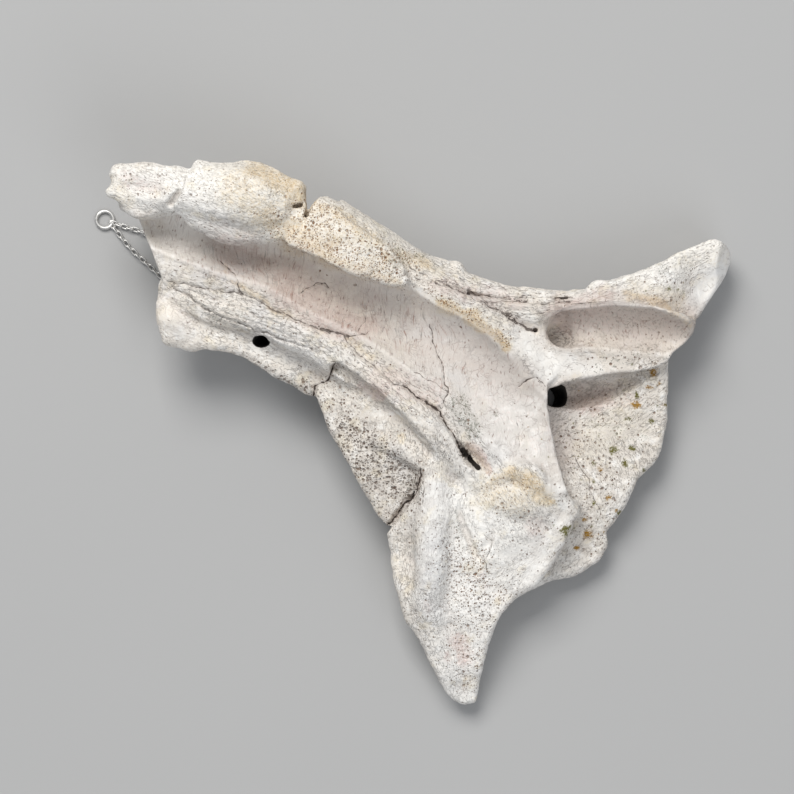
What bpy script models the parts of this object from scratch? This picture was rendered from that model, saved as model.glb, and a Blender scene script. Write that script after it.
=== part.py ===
"""A weathered piece of whale bone, lying on its underside, with the fine chain and ring it wears.

The bone is seen best from above: a long open canal runs from the left end down to the right, with lumpy
bone along its upper rim and a fibrous bar along its lower one, and spreads into plates and processes.

Frame: +X to the right along the longest extent, +Y up the plan, +Z up from the surface it lies on. The
origin is at the centre of the bottom of the box that holds the bone, the chain and the ring. Blender
works in metres. The stations below are in millimetres, and MM turns them into metres. They have a plan
and a height of their own, and each finished part is set down from them onto the floor.
"""

import math

import bmesh
import bpy
import numpy as np
from mathutils import Vector
from mathutils.bvhtree import BVHTree

MM = 0.001

# Driving dimensions
JOIN_CELL = 3.0 * MM        # grid on which the forms are grown together
FINE_CELL = 2.5 * MM        # grid of the finished bone
GAP = 0.3 * MM              # between neighbouring parts of the bone
BONE_TRIANGLES = 4400       # shared by all the parts of the bone
FLOOR_CLEARANCE = 0.4 * MM  # under the ring and the chain
PLAN_CENTRE = (-0.4, 0.9)   # middle of the whole part's box, in the stations' own plan
REST_LEVEL = 4.5            # the stations' height at which the bone meets the floor
OUTSIDE = 400               # farther out than the bone reaches, in the stations' millimetres
CAP_ANGLES = (1.25, 0.85, 0.4)  # radians from the last section at which a run's round end has rings
PLATE_HALF = 10 * MM        # half a plate's thickness before it is lifted to its levels
SHARP_FROM = 40             # degrees between faces from which an edge is shaded sharp

RING_RADIUS = 7.6 * MM
RING_WIRE = 1.3 * MM
CHAIN_RADIUS = 1.9 * MM
EYE_RADIUS = 5.0 * MM
EYE_WIRE = 1.2 * MM

# Runs of elliptical sections: x, y, z, half width, half height
KEEL = [
    (-245, 172, 62, 30, 34), (-216, 160, 58, 36, 38), (-160, 142, 54, 46, 44), (-100, 118, 50, 52, 46),
    (-30, 84, 46, 58, 46), (40, 44, 44, 62, 42), (100, 0, 48, 62, 34), (130, -20, 50, 60, 30),
]
UPPER_WALL = [
    (-224, 196, 84, 13, 28), (-204, 194, 92, 19, 36), (-160, 194, 90, 26, 44), (-100, 186, 84, 28, 44),
    (-50, 164, 78, 26, 40), (-12, 141, 66, 24, 31), (40, 108, 58, 28, 33), (84, 75, 55, 25, 28),
    (110, 49, 52, 18, 21),
]
CANAL = [
    (-290, 194, 168, 36, 92), (-234, 174, 168, 36, 92), (-163, 150, 166, 35, 93), (-119, 140, 166, 38, 95),
    (-83, 120, 165, 40, 95), (-29, 94, 164, 42, 96), (3, 72, 164, 45, 97), (40, 50, 163, 50, 98),
    (88, 4, 163, 62, 99), (111, -18, 164, 66, 98), (140, -42, 168, 66, 98),
]
CANAL_LEAN = (-0.10, -0.20, 1)
RIM_RIDGE = [
    (-236, 210, 118, 12, 12), (-205, 204, 120, 14, 14), (-175, 204, 124, 20, 18), (-145, 205, 128, 22, 19),
    (-112, 196, 120, 18, 17),
]
CREST = [(72, 90, 74, 5, 9), (88, 75, 73, 4, 8), (104, 57, 71, 3.5, 7), (115, 41, 68, 2.5, 5)]
LOWER_BAR = [
    (-206, 126, 74, 9, 10), (-175, 112, 80, 14, 12), (-130, 100, 83, 16, 14), (-80, 76, 84, 15, 14),
    (-35, 48, 84, 14, 14), (5, 16, 82, 13, 14), (32, -12, 75, 12, 13), (54, -38, 66, 11, 11),
]
BACK_BAR = [
    (-30, 140, 56, 16, 20), (20, 132, 58, 15, 18), (60, 118, 60, 16, 18), (105, 108, 60, 17, 18),
    (150, 108, 58, 17, 20), (185, 118, 52, 20, 22),
]
LEFT_RIDGE = [
    (30, -6, 66, 11, 12), (19, -32, 67, 14, 13), (17, -70, 69, 15, 15), (16, -112, 61, 14, 16),
    (15, -150, 47, 13, 14), (30, -192, 28, 12, 10),
]
KNOB = [
    (62, -42, 65, 8, 9), (83, -30, 71, 10, 12), (100, -34, 72, 11, 12), (114, -46, 67, 9, 11),
    (136, -64, 58, 6, 8),
]
KNOB_RIDGE = [(137, -62, 50, 7, 8), (122, -84, 46, 9, 11), (106, -106, 39, 9, 12), (94, -124, 28, 8, 10)]

# Swellings on the plates
SWELLINGS = {
    "rim_end_top": [(-248, 222, 114, 8, 9), (-225, 222, 118, 8, 9), (-200, 219, 122, 8, 9)],
    "rim_end_band": [(-240, 197, 106, 8, 8), (-222, 191, 106, 8, 8), (-204, 194, 108, 8, 8)],
    "hump_crown": [(-165, 204, 118, 24, 24), (-132, 198, 118, 26, 27)],
    "lobe_crown": [(-205, 100, 70, 12, 16), (-188, 84, 66, 12, 12)],
    "knob_face": [(70, -54, 61, 15, 16), (93, -52, 64, 20, 18), (117, -64, 57, 14, 13)],
    "plate_bridge": [(-30, -2, 66, 8, 8), (-4, -14, 70, 8, 8), (16, -28, 70, 8, 8)],
    "back_bump": [(20, 143, 60, 7, 8), (38, 141, 62, 7, 9)],
    "outer_band": [(-62, 12, 52, 7, 8), (-44, -26, 50, 7, 8), (-24, -62, 46, 7, 8)],
}

# Hollows and holes, in the same form
HOLLOWS = {
    "under_groove": [
        (-250, 176, 20, 8, 10), (-160, 142, 2, 16, 12), (-60, 100, -4, 20, 14), (40, 44, -4, 22, 14),
        (110, -8, 6, 20, 14), (150, -34, 14, 16, 12),
    ],
    "rim_end_dip": [(-240, 210, 135, 7, 10), (-218, 208, 137, 8, 10)],
    "hump_shelf": [(-93, 204, 152, 8, 20), (-101, 184, 150, 9, 22), (-112, 170, 146, 6, 18)],
    "flange_ledge": [(-136, 57, 88, 4, 18), (-112, 46, 82, 5, 17), (-90, 36, 78, 4, 15)],
    "flange_valley": [
        (-206, 122, 96, 5, 8), (-182, 104, 98, 7, 12), (-152, 88, 94, 7, 12), (-120, 72, 86, 6, 8),
    ],
    "plate_valley": [(-64, 58, 92, 5, 10), (-36, 36, 90, 6, 14), (-12, 12, 92, 7, 16), (8, -8, 91, 6, 12)],
    "plate_hollow": [(-10, -38, 84, 12, 12), (-2, -52, 82, 8, 12)],
    "ridge_groove": [
        (38, -50, 92, 4, 15), (42, -72, 86, 5, 18), (50, -92, 79, 5, 15), (58, -107, 72, 4, 10),
    ],
    "process_fold": [(68, -84, 82, 4, 12), (61, -98, 77, 4, 11), (57, -108, 72, 3, 6)],
    "bowl": [
        (120, 88, 88, 15, 34), (140, 90, 96, 20, 46), (168, 90, 104, 23, 54), (200, 87, 104, 24, 53),
        (230, 82, 106, 21, 49), (256, 76, 108, 18, 45),
    ],
    "bowl_pit": [(133, 91, 70, 15, 14), (127, 85, 56, 13, 11), (122, 79, 47, 9, 7)],
    "recess": [(122, 34, 46, 10, 18), (142, 35, 48, 13, 22), (165, 38, 50, 11, 20), (190, 46, 54, 6, 14)],
    "nerve_hole": [(40, -7, 88, 2, 11), (49, -20, 86, 5, 42), (56, -29, 82, 2.5, 14)],
}
THROUGH_HOLE = [(125, 34, 60, 11, 8.5), (124, 34, 36, 11, 8.5), (92, 28, -20, 13, 10)]
BAR_HOLE = [(-128, 81, 100, 7, 4.5), (-127, 81, 64, 6, 4), (-104, 92, -10, 6, 5)]

# Plates: an outline in plan, and levels: x, y, height of the top, thickness
RIM_END_OUTLINE = [
    (-256.5, 202), (-258, 207), (-252, 214), (-252, 223), (-246, 229), (-231, 226), (-187, 224),
    (-176, 206), (-184, 188), (-205, 188), (-219, 184), (-232, 183), (-242, 190), (-247, 197),
]
RIM_END_LEVELS = [
    (-250, 208, 126, 24), (-230, 208, 132, 34), (-200, 206, 134, 40), (-240, 192, 118, 26),
    (-205, 190, 116, 34), (-220, 224, 120, 30),
]
RIM_HUMP_OUTLINE = [
    (-190, 212), (-183, 230), (-173, 232), (-156, 231), (-144, 233), (-131, 231), (-117, 227), (-103, 219),
    (-90, 213), (-90, 192), (-96, 166), (-112, 163), (-137, 161.5), (-156, 161.5), (-172, 167), (-190, 180),
    (-196, 196),
]
RIM_HUMP_LEVELS = [
    (-185, 210, 134, 44), (-150, 205, 142, 60), (-110, 205, 140, 56), (-140, 168, 124, 50),
    (-95, 205, 128, 48), (-100, 175, 123, 47), (-175, 180, 125, 47), (-140, 230, 118, 44),
]
BLOCK_OUTLINE = [
    (-87, 186), (-82, 197), (-76, 201), (-52, 182), (-23, 161), (-6, 143), (-3, 130), (-15, 126),
    (-37, 133), (-54, 138), (-73, 147), (-95, 157), (-107, 164), (-98, 178),
]
BLOCK_LEVELS = [
    (-90, 185, 126, 50), (-60, 165, 133, 60), (-80, 152, 130, 50), (-45, 140, 126, 50), (-20, 138, 120, 50),
    (-5, 134, 108, 40),
]
CHUNK_OUTLINE = [
    (9.4, 112), (30, 101), (58, 92), (75, 85), (86, 74), (98, 61), (101, 64), (92, 78), (80, 89),
    (64, 99.5), (49, 111), (32, 121.5), (12, 127),
]
CHUNK_LEVELS = [(12, 120, 94, 30), (45, 106, 90, 28), (75, 88, 84, 24), (98, 64, 76, 16)]
SHOULDER_OUTLINE = [
    (-10, 140), (12, 120), (50, 102), (84, 84), (108, 56), (116, 44), (128, 60), (110, 76), (104, 96),
    (112, 112), (60, 128), (20, 138),
]
SHOULDER_LEVELS = [(0, 130, 76, 40), (60, 110, 72, 40), (100, 80, 70, 36), (116, 52, 68, 30)]
FLANGE_OUTLINE = [
    (-218, 112), (-211, 124), (-190, 124), (-140, 100), (-100, 75), (-70, 55), (-72, 42), (-83, 33),
    (-101, 42), (-117, 51), (-144, 67), (-178, 75), (-206, 76), (-214, 84),
]
FLANGE_LEVELS = [
    (-205, 98, 84, 36), (-190, 82, 74, 24), (-150, 84, 74, 26), (-110, 62, 70, 24), (-80, 44, 66, 22),
]
POROUS_OUTLINE = [
    (-83, 34), (-81, 47), (-66, 60), (-30, 45), (5, 15), (14, -20), (3, -51), (-9, -66), (-20, -77),
    (-36, -56), (-58, -19), (-72, 8),
]
POROUS_LEVELS = [
    (-70, 40, 72, 26), (-30, 30, 76, 34), (0, 0, 76, 40), (-50, -5, 66, 22), (-5, -45, 64, 28),
    (-20, -72, 50, 18),
]
PROCESS_OUTLINE = [
    (15, -20), (3, -51), (-18, -80), (-19.6, -88), (-16, -118), (-7, -153), (9, -179), (28, -218),
    (41, -230), (50, -231), (56, -227), (59.5, -205), (67, -175), (76, -155), (91, -138), (108, -126),
    (130, -92), (137, -62), (118, -40), (90, -28), (60, -25),
]
PROCESS_LEVELS = [
    (10, -50, 74, 40), (17, -80, 72, 50), (-12, -100, 54, 26), (12, -130, 60, 42), (8, -165, 46, 32),
    (48, -60, 75, 50), (60, -100, 69, 50), (50, -140, 58, 54), (45, -185, 42, 46), (48, -226, 24, 28),
    (80, -130, 46, 36), (100, -105, 54, 40), (72, -74, 76, 48), (97, -78, 73, 46), (122, -68, 66, 36),
]
BACK_OUTLINE = [
    (219, 66), (219, 43), (219, 29), (218, 11), (211, -20), (194, -37), (181, -63), (169, -82), (168, -94),
    (157, -110.5), (138, -121), (120, -124), (98, -132), (85, -110), (95, -60), (102, -10), (106, 30),
    (120, 60), (165, 66), (200, 66),
]
BACK_LEVELS = [
    (210, 50, 50, 30), (165, 30, 40, 36), (208, 0, 34, 24), (165, -20, 42, 28), (115, 40, 42, 40),
    (140, 50, 40, 38), (120, 0, 38, 30), (140, -60, 44, 28), (155, -100, 28, 24), (115, -115, 32, 28),
]
WING_OUTLINE = [
    (140, 110), (151, 128), (160, 133), (170, 132), (185, 138), (211, 148), (236, 160), (259, 168),
    (273, 155), (268, 137), (257, 120), (245, 103), (236, 98), (200, 96), (160, 96),
]
WING_LEVELS = [
    (160, 118, 76, 40), (210, 130, 76, 60), (262, 155, 60, 58), (254, 122, 42, 50), (236, 104, 60, 54),
    (200, 104, 80, 44),
]
LOBE_OUTLINE = [
    (96, 88), (110, 104), (150, 118), (200, 112), (238, 100), (241, 92), (234, 80), (222, 70), (216, 62),
    (200, 56), (165, 52), (135, 46), (116, 41), (108, 56),
]
LOBE_LEVELS = [
    (108, 66, 70, 62), (130, 88, 72, 62), (160, 70, 64, 30), (210, 70, 64, 28), (236, 90, 74, 34),
    (170, 115, 82, 44), (210, 106, 86, 44), (120, 46, 66, 10), (160, 54, 63, 10), (200, 60, 61, 10),
]
FREE_EDGE = [
    (116, 44), (115, 24), (118, 5), (122, -14), (129, -39), (139, -64), (230, -90), (250, 20), (200, 60),
    (150, 60), (124, 52),
]
OPEN_END = [
    (-236, 215), (-236, 192), (-229, 176), (-217, 149), (-211, 132), (-211, 118), (-230, 100), (-290, 110),
    (-290, 215),
]
NOTCH = [(-88.5, 189), (-90, 206), (-90, 225), (-60, 225), (-61, 197), (-72, 202.5), (-78, 202), (-83, 197)]
CUT_LEVELS = [(0, 0, 180, 240)]

# Three points of the flat face at the right of the upper process
WING_FACET = ((237, 108, 77), (259, 160, 66), (262, 118, 40))

# Where the bone divides into its named parts: lines in plan, and boxes round the lumps on the rim
DIVISIONS = {
    "stem_from_wing": [(84, 175), (98, 118), (104, 94), (112, 58), (117, 41)],
    "canal_from_back_plate": [(117, 41), (124, 0), (139, -64)],
    "lobe_from_back_plate": [(117, 41), (160, 50), (200, 58), (245, 66)],
    "lobe_from_upper_process": [(104, 94), (140, 114), (174, 119), (210, 110), (240, 96), (270, 82)],
    "back_bar": [(-34, 190), (-12, 142), (20, 122), (60, 108), (81, 104), (104, 94)],
    "knob": [(139, -64), (102, -20), (79, -18), (58, -34), (38, -30), (10, -26)],
    "crack": [(10, -26), (3, -50), (-4, -54), (-10, -67), (-20, -77), (-34, -94)],
    "groove": [(10, -26), (7, 5), (-10, 20), (-27, 36), (-70, 54)],
    "flange_end": [(-70, 54), (-82, 42), (-83, 33), (-92, 18)],
    "flange": [(-70, 54), (-100, 70), (-140, 92), (-180, 110), (-232, 132)],
    "process_from_back_plate": [(139, -64), (124, -84), (106, -106), (94, -126), (93, -155)],
    "lower_bar": [
        (-232, 136), (-206, 133), (-132, 113), (-78, 88), (-40, 61), (-8, 42), (23, 19), (38, -30),
    ],
    "upper_wall": [
        (-262, 190), (-215, 182), (-163, 176), (-100, 160), (-50, 136), (0, 108), (40, 84), (80, 58),
        (117, 41),
    ],
}
RIM_BOX = ((-290, 150, 98), (-88, 260, 190))
RIM_SPLIT_X = -188
BLOCK_BOX = ((-87.4, 118, 90), (-4, 260, 190))

# A point inside each part, which gives the part its name
PART_PLACES = {
    "rim_end": (-225, 203, 116),
    "rim_hump": (-140, 197, 114),
    "porous_block": (-50, 155, 110),
    "canal_floor": (-40, 92, 30),
    "upper_wall": (-100, 186, 70),
    "lower_bar": (-80, 76, 78),
    "lower_flange": (-195, 96, 68),
    "porous_plate": (-30, 10, 60),
    "lower_process": (40, -130, 45),
    "back_plate": (165, -40, 30),
    "lobe": (190, 66, 55),
    "upper_process": (225, 135, 45),
    "back_bar": (40, 126, 50),
}

# The loop of chain lies on the floor and passes under the bone's left end, where a screw eye holds it
RING_PLACE = (-264.5, 186)
UPPER_STRAND = [(-256, 182.5, 2.3), (-246, 179.5, 2.3), (-234, 176, 2.3), (-222, 170, 2.5), (-211, 163, 3.8),
                (-205.2, 154.6, 6.4)]
LOWER_STRAND = [(-258, 178.5, 2.3), (-243, 162, 2.3), (-226, 146, 2.3), (-212, 134, 2.3), (-204, 137, 2.8),
                (-202.4, 145, 5), (-203.6, 152.2, 6.6)]
EYE_PLACE = (-204, 153)

MATERIALS = {
    "bone": ((0.80, 0.76, 0.71), 0.72, 0.0),
    "ochre_bone": ((0.78, 0.70, 0.56), 0.75, 0.0),
    "steel": ((0.62, 0.61, 0.60), 0.32, 1.0),
}
OCHRE_PARTS = ("rim_end", "rim_hump", "porous_block")


def make_material(name):
    """A plain Principled material from the table above."""
    colour, roughness, metallic = MATERIALS[name]
    material = bpy.data.materials.new(name)
    material.use_nodes = True
    shader = material.node_tree.nodes["Principled BSDF"]
    shader.inputs["Base Color"].default_value = (*colour, 1)
    shader.inputs["Roughness"].default_value = roughness
    shader.inputs["Metallic"].default_value = metallic
    return material


def add_object(name, mesh, collection):
    """An object in a collection, with nothing else done to it."""
    made = bpy.data.objects.new(name, mesh)
    collection.objects.link(made)
    return made


def smooth_run(points, steps):
    """A Catmull-Rom run through rows of numbers, with `steps` rows to each interval."""
    rows = np.array(points, float)
    padded = np.vstack([2 * rows[0] - rows[1], rows, 2 * rows[-1] - rows[-2]])
    out = []
    for a, b, c, d in zip(padded, padded[1:], padded[2:], padded[3:]):
        bend, twist = 2 * a - 5 * b + 4 * c - d, 3 * b - a - 3 * c + d
        for t in np.arange(steps) / steps:
            out.append((2 * b + (c - a) * t + bend * t**2 + twist * t**3) / 2)
    out.append(rows[-1])
    return np.array(out)


def loft(name, stations, collection, lean=(0, 0, 1), sides=20, steps=3):
    """A run of elliptical sections with rounded ends, skinned into one closed body."""
    rows = smooth_run(stations, steps) * MM
    mesh = bmesh.new()
    rings = []
    tangents = np.gradient(rows[:, :3], axis=0)

    def ring(row, tangent, shift, shrink):
        along = Vector(tangent).normalized()
        side = Vector(lean).cross(along).normalized()
        normal = along.cross(side)
        centre = Vector(row[:3]) + along * shift
        verts = []
        for k in range(sides):
            angle = 2 * math.pi * k / sides
            across = side * (math.cos(angle) * row[3]) + normal * (math.sin(angle) * row[4])
            verts.append(mesh.verts.new(centre + across * shrink))
        rings.append(verts)

    reach = min(rows[0][3:])
    for angle in CAP_ANGLES:
        ring(rows[0], tangents[0], -reach * math.sin(angle), math.cos(angle))
    for row, tangent in zip(rows, tangents):
        ring(row, tangent, 0, 1)
    reach = min(rows[-1][3:])
    for angle in reversed(CAP_ANGLES):
        ring(rows[-1], tangents[-1], reach * math.sin(angle), math.cos(angle))

    for low, high in zip(rings, rings[1:]):
        for k in range(sides):
            j = (k + 1) % sides
            mesh.faces.new((low[k], low[j], high[j], high[k]))
    mesh.faces.new(list(reversed(rings[0])))
    mesh.faces.new(rings[-1])
    bmesh.ops.recalc_face_normals(mesh, faces=mesh.faces)
    data = bpy.data.meshes.new(name)
    mesh.to_mesh(data)
    mesh.free()
    return add_object(name, data, collection)


def blended(x, y, stations, reach):
    """Values of the stations near a point in plan, weighted by how close each one is."""
    places = np.array(stations, float)
    weight = ((x - places[:, 0]) ** 2 + (y - places[:, 1]) ** 2 + reach**2) ** -1.5
    return (places[:, 2:] * weight[:, None]).sum(0) / weight.sum()


def edge_distance(x, y, outline):
    """How far a point in plan is from the outline."""
    start = outline
    run = np.roll(outline, -1, axis=0) - start
    along = ((np.array((x, y)) - start) * run).sum(1) / np.maximum((run**2).sum(1), 1e-9)
    nearest = start + run * np.clip(along, 0, 1)[:, None]
    return np.sqrt(((nearest - (x, y)) ** 2).sum(1).min())


def plate(name, outline, levels, collection, cell=5.0 * MM, reach=20, taper=26, margin=0.4, rounded=True):
    """A filled outline, extruded, meshed evenly, then lifted to the levels of its top and underside.

    Within `taper` of the outline the underside rises, until the plate has `margin` of its thickness.
    """
    points = smooth_run(outline + outline[:1], 3)[:-1] if rounded else np.array(outline, float)
    flat = bpy.data.curves.new(name, "CURVE")
    flat.dimensions = "2D"
    flat.fill_mode = "BOTH"
    flat.extrude = PLATE_HALF
    line = flat.splines.new("POLY")
    line.points.add(len(points) - 1)
    for place, (x, y) in zip(line.points, points):
        place.co = (x * MM, y * MM, 0, 1)
    line.use_cyclic_u = True
    made = to_mesh(add_object(name, flat, collection), collection)
    remesh(made, cell)
    half = max(abs(v.co.z) for v in made.data.vertices)
    for v in made.data.vertices:
        x, y = v.co.x / MM, v.co.y / MM
        top, thickness = blended(x, y, levels, reach)
        inward = 1 - min(edge_distance(x, y, points) / taper, 1)
        thickness *= margin + (1 - margin) * math.sqrt(1 - inward**2)
        v.co.z = (top - thickness * (1 - v.co.z / half) / 2) * MM
    return made


def to_mesh(curve_object, collection):
    """The same shape as a welded mesh object, in place of the curve object."""
    name = curve_object.name
    depsgraph = bpy.context.evaluated_depsgraph_get()
    data = bpy.data.meshes.new_from_object(curve_object.evaluated_get(depsgraph))
    bpy.data.objects.remove(curve_object)
    work = bmesh.new()
    work.from_mesh(data)
    bmesh.ops.remove_doubles(work, verts=work.verts, dist=0.01 * MM)
    bmesh.ops.recalc_face_normals(work, faces=work.faces)
    work.to_mesh(data)
    work.free()
    return add_object(name, data, collection)


def apply_modifiers(target):
    """Bakes an object's modifiers into a mesh of its own."""
    bpy.context.view_layer.update()
    depsgraph = bpy.context.evaluated_depsgraph_get()
    data = bpy.data.meshes.new_from_object(target.evaluated_get(depsgraph))
    target.modifiers.clear()
    target.data = data


def remesh(target, cell):
    """Grows everything in the object together into one closed skin of even faces."""
    modifier = target.modifiers.new("Remesh", "REMESH")
    modifier.mode = "VOXEL"
    modifier.voxel_size = cell
    apply_modifiers(target)


def boolean(target, operation, cutter):
    """One exact Boolean, baked."""
    modifier = target.modifiers.new(operation, "BOOLEAN")
    modifier.operation = operation
    modifier.solver = "EXACT"
    modifier.object = cutter
    apply_modifiers(target)


def cut(target, *cutters):
    """Takes each cutter's body away from the target."""
    for cutter in cutters:
        boolean(target, "DIFFERENCE", cutter)


def join(target, others):
    """Puts the others' meshes into the target's mesh."""
    work = bmesh.new()
    for piece in (target, *others):
        work.from_mesh(piece.data)
    work.to_mesh(target.data)
    work.free()
    for piece in others:
        bpy.data.objects.remove(piece)


def relax(target, factor, repeat):
    """Evens out the steps that the grid leaves."""
    modifier = target.modifiers.new("Smooth", "SMOOTH")
    modifier.factor = factor
    modifier.iterations = repeat
    apply_modifiers(target)


def thin_out(target, triangles):
    """Fewer faces, with the form kept."""
    target.data.calc_loop_triangles()
    modifier = target.modifiers.new("Decimate", "DECIMATE")
    modifier.ratio = triangles / len(target.data.loop_triangles)
    modifier.use_collapse_triangulate = True
    apply_modifiers(target)


def box(name, low, high, collection, grow=0.0):
    """A block between two corners, in millimetres, larger by `grow` metres all round."""
    low, high = Vector(low) * MM, Vector(high) * MM
    work = bmesh.new()
    bmesh.ops.create_cube(work, size=1)
    size = high - low + Vector((2 * grow,) * 3)
    bmesh.ops.scale(work, vec=size, verts=work.verts)
    bmesh.ops.translate(work, vec=(low + high) / 2, verts=work.verts)
    data = bpy.data.meshes.new(name)
    work.to_mesh(data)
    work.free()
    return add_object(name, data, collection)


def facet(name, corners, collection, reach=60, depth=80):
    """A block whose underside lies in the plane through three points, given in millimetres."""
    a, b, c = (Vector(corner) for corner in corners)
    normal = (b - a).cross(c - a).normalized()
    if normal.z < 0:
        normal.negate()
    made = box(name, (-reach, -reach, 0), (reach, reach, depth), collection)
    made.rotation_euler = normal.to_track_quat("Z", "Y").to_euler()
    made.location = (a + b + c) / 3 * MM
    return made


def wall(name, line, collection):
    """An upright sheet as thick as the gap between parts, along a line in plan."""
    points = [Vector((x, y)) * MM for x, y in line]
    points[0] += (points[0] - points[1]).normalized() * GAP / 4
    points[-1] += (points[-1] - points[-2]).normalized() * GAP / 4
    left, right = [], []
    for i, here in enumerate(points):
        before = (here - points[i - 1]).normalized() if i else (points[1] - here).normalized()
        after = (points[i + 1] - here).normalized() if i + 1 < len(points) else before
        across = Vector((-(before + after).y, (before + after).x)).normalized()
        reach = GAP / 2 / max(across.dot(Vector((-before.y, before.x))), 0.5)
        left.append(here + across * reach)
        right.append(here - across * reach)
    work = bmesh.new()
    base = [work.verts.new((p.x, p.y, -OUTSIDE * MM)) for p in left + right[::-1]]
    face = work.faces.new(base)
    raised = bmesh.ops.extrude_face_region(work, geom=[face])
    verts = [v for v in raised["geom"] if isinstance(v, bmesh.types.BMVert)]
    bmesh.ops.translate(work, vec=(0, 0, 2 * OUTSIDE * MM), verts=verts)
    bmesh.ops.recalc_face_normals(work, faces=work.faces)
    data = bpy.data.meshes.new(name)
    work.to_mesh(data)
    work.free()
    return add_object(name, data, collection)


def make_bone(parts, cutters):
    """The whole bone in one piece, before it is divided."""
    bone = loft("bone", KEEL, parts)
    join(bone, [
        loft("upper_wall", UPPER_WALL, parts),
        plate("chunk", CHUNK_OUTLINE, CHUNK_LEVELS, parts, cell=3 * MM, margin=0.8),
        loft("crest", CREST, parts),
    ])
    remesh(bone, JOIN_CELL)
    cut(bone, loft("canal", CANAL, cutters, lean=CANAL_LEAN, sides=32),
        plate("free_edge", FREE_EDGE, CUT_LEVELS, cutters, margin=1, rounded=False),
        plate("open_end", OPEN_END, CUT_LEVELS, cutters, margin=1, rounded=False))

    grown = [
        plate("end_lump", RIM_END_OUTLINE, RIM_END_LEVELS, parts, taper=14),
        plate("hump", RIM_HUMP_OUTLINE, RIM_HUMP_LEVELS, parts, taper=20),
        loft("rim_ridge", RIM_RIDGE, parts),
        plate("block", BLOCK_OUTLINE, BLOCK_LEVELS, parts, margin=0.8),
        loft("bar", LOWER_BAR, parts),
        plate("shoulder", SHOULDER_OUTLINE, SHOULDER_LEVELS, parts, margin=0.8),
        plate("flange", FLANGE_OUTLINE, FLANGE_LEVELS, parts),
        plate("porous", POROUS_OUTLINE, POROUS_LEVELS, parts, reach=25),
        plate("process", PROCESS_OUTLINE, PROCESS_LEVELS, parts, reach=22),
        loft("left_ridge", LEFT_RIDGE, parts),
        loft("knob", KNOB, parts),
        plate("back", BACK_OUTLINE, BACK_LEVELS, parts, reach=30),
        loft("knob_ridge", KNOB_RIDGE, parts),
        loft("back_bar", BACK_BAR, parts),
        plate("wing", WING_OUTLINE, WING_LEVELS, parts, reach=16),
        plate("lobe", LOBE_OUTLINE, LOBE_LEVELS, parts, cell=3 * MM, reach=14, margin=0.8),
        *(loft(name, run, parts) for name, run in SWELLINGS.items()),
    ]
    join(bone, grown)
    remesh(bone, JOIN_CELL)
    relax(bone, 0.5, 4)
    cut(bone, *(loft(name, run, cutters) for name, run in HOLLOWS.items()))
    for name, run in (("through_hole", THROUGH_HOLE), ("bar_hole", BAR_HOLE)):
        cut(bone, loft(name, run, cutters, lean=(0, 1, 0), sides=12))
    cut(bone, plate("notch", NOTCH, CUT_LEVELS, cutters, margin=1, rounded=False))
    cut(bone, facet("wing_facet", WING_FACET, cutters))
    remesh(bone, FINE_CELL)
    relax(bone, 0.5, 3)
    thin_out(bone, BONE_TRIANGLES)
    cut(bone, box("floor", (-OUTSIDE, -OUTSIDE, -OUTSIDE), (OUTSIDE, OUTSIDE, REST_LEVEL), cutters))
    return bone


def take_box(bone, name, corners, parts, cutters):
    """Divides off what lies in a box as a part of its own."""
    piece = add_object(name, bone.data.copy(), parts)
    boolean(piece, "INTERSECT", box(name + "_region", *corners, cutters))
    cut(bone, box(name + "_gap", *corners, cutters, grow=GAP))
    return piece


def loose_pieces(target):
    """The target's separate bodies, each as a mesh of its own."""
    work = bmesh.new()
    work.from_mesh(target.data)
    left = set(work.verts)
    groups = []
    while left:
        stack = [left.pop()]
        group = set(stack)
        while stack:
            for edge in stack.pop().link_edges:
                for v in edge.verts:
                    if v in left:
                        left.discard(v)
                        group.add(v)
                        stack.append(v)
        groups.append(group)
    out = []
    for group in groups:
        piece = work.copy()
        keep = {v.index for v in group}
        bmesh.ops.delete(piece, geom=[v for v in piece.verts if v.index not in keep], context="VERTS")
        data = bpy.data.meshes.new("piece")
        piece.to_mesh(data)
        piece.free()
        out.append(data)
    work.free()
    return out


def holds(data, place):
    """Whether a point lies inside a closed mesh: a line up from it then crosses it an odd number of times."""
    tree = BVHTree.FromPolygons([v.co for v in data.vertices], [p.vertices for p in data.polygons])
    start = Vector(place) * MM
    crossings = 0
    while True:
        hit = tree.ray_cast(start, Vector((0, 0, 1)))[0]
        if hit is None:
            return crossings % 2 == 1
        crossings += 1
        start = hit + Vector((0, 0, GAP / 10))


def divide(bone, parts, cutters):
    """Parts the bone with thin cuts and names each part by its place."""
    rim = take_box(bone, "rim_whole", RIM_BOX, parts, cutters)
    block = take_box(bone, "block_whole", BLOCK_BOX, parts, cutters)
    half = GAP / 2 / MM
    low, high = (RIM_SPLIT_X - half, -OUTSIDE, 0), (RIM_SPLIT_X + half, OUTSIDE, OUTSIDE)
    cut(rim, box("rim_split", low, high, cutters))
    cut(bone, *(wall(name + "_line", line, cutters) for name, line in DIVISIONS.items()))

    for whole in (rim, block, bone):
        for data in loose_pieces(whole):
            for name, place in PART_PLACES.items():
                if holds(data, place):
                    add_object(name, data, parts)
        bpy.data.objects.remove(whole)


def make_ring(parts, material):
    """The hanging ring, flat on the floor."""
    bpy.ops.mesh.primitive_torus_add(
        major_radius=RING_RADIUS, minor_radius=RING_WIRE, major_segments=24, minor_segments=8,
        location=(RING_PLACE[0] * MM, RING_PLACE[1] * MM, RING_WIRE + FLOOR_CLEARANCE),
    )
    take(bpy.context.object, "ring", parts, material)


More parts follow.
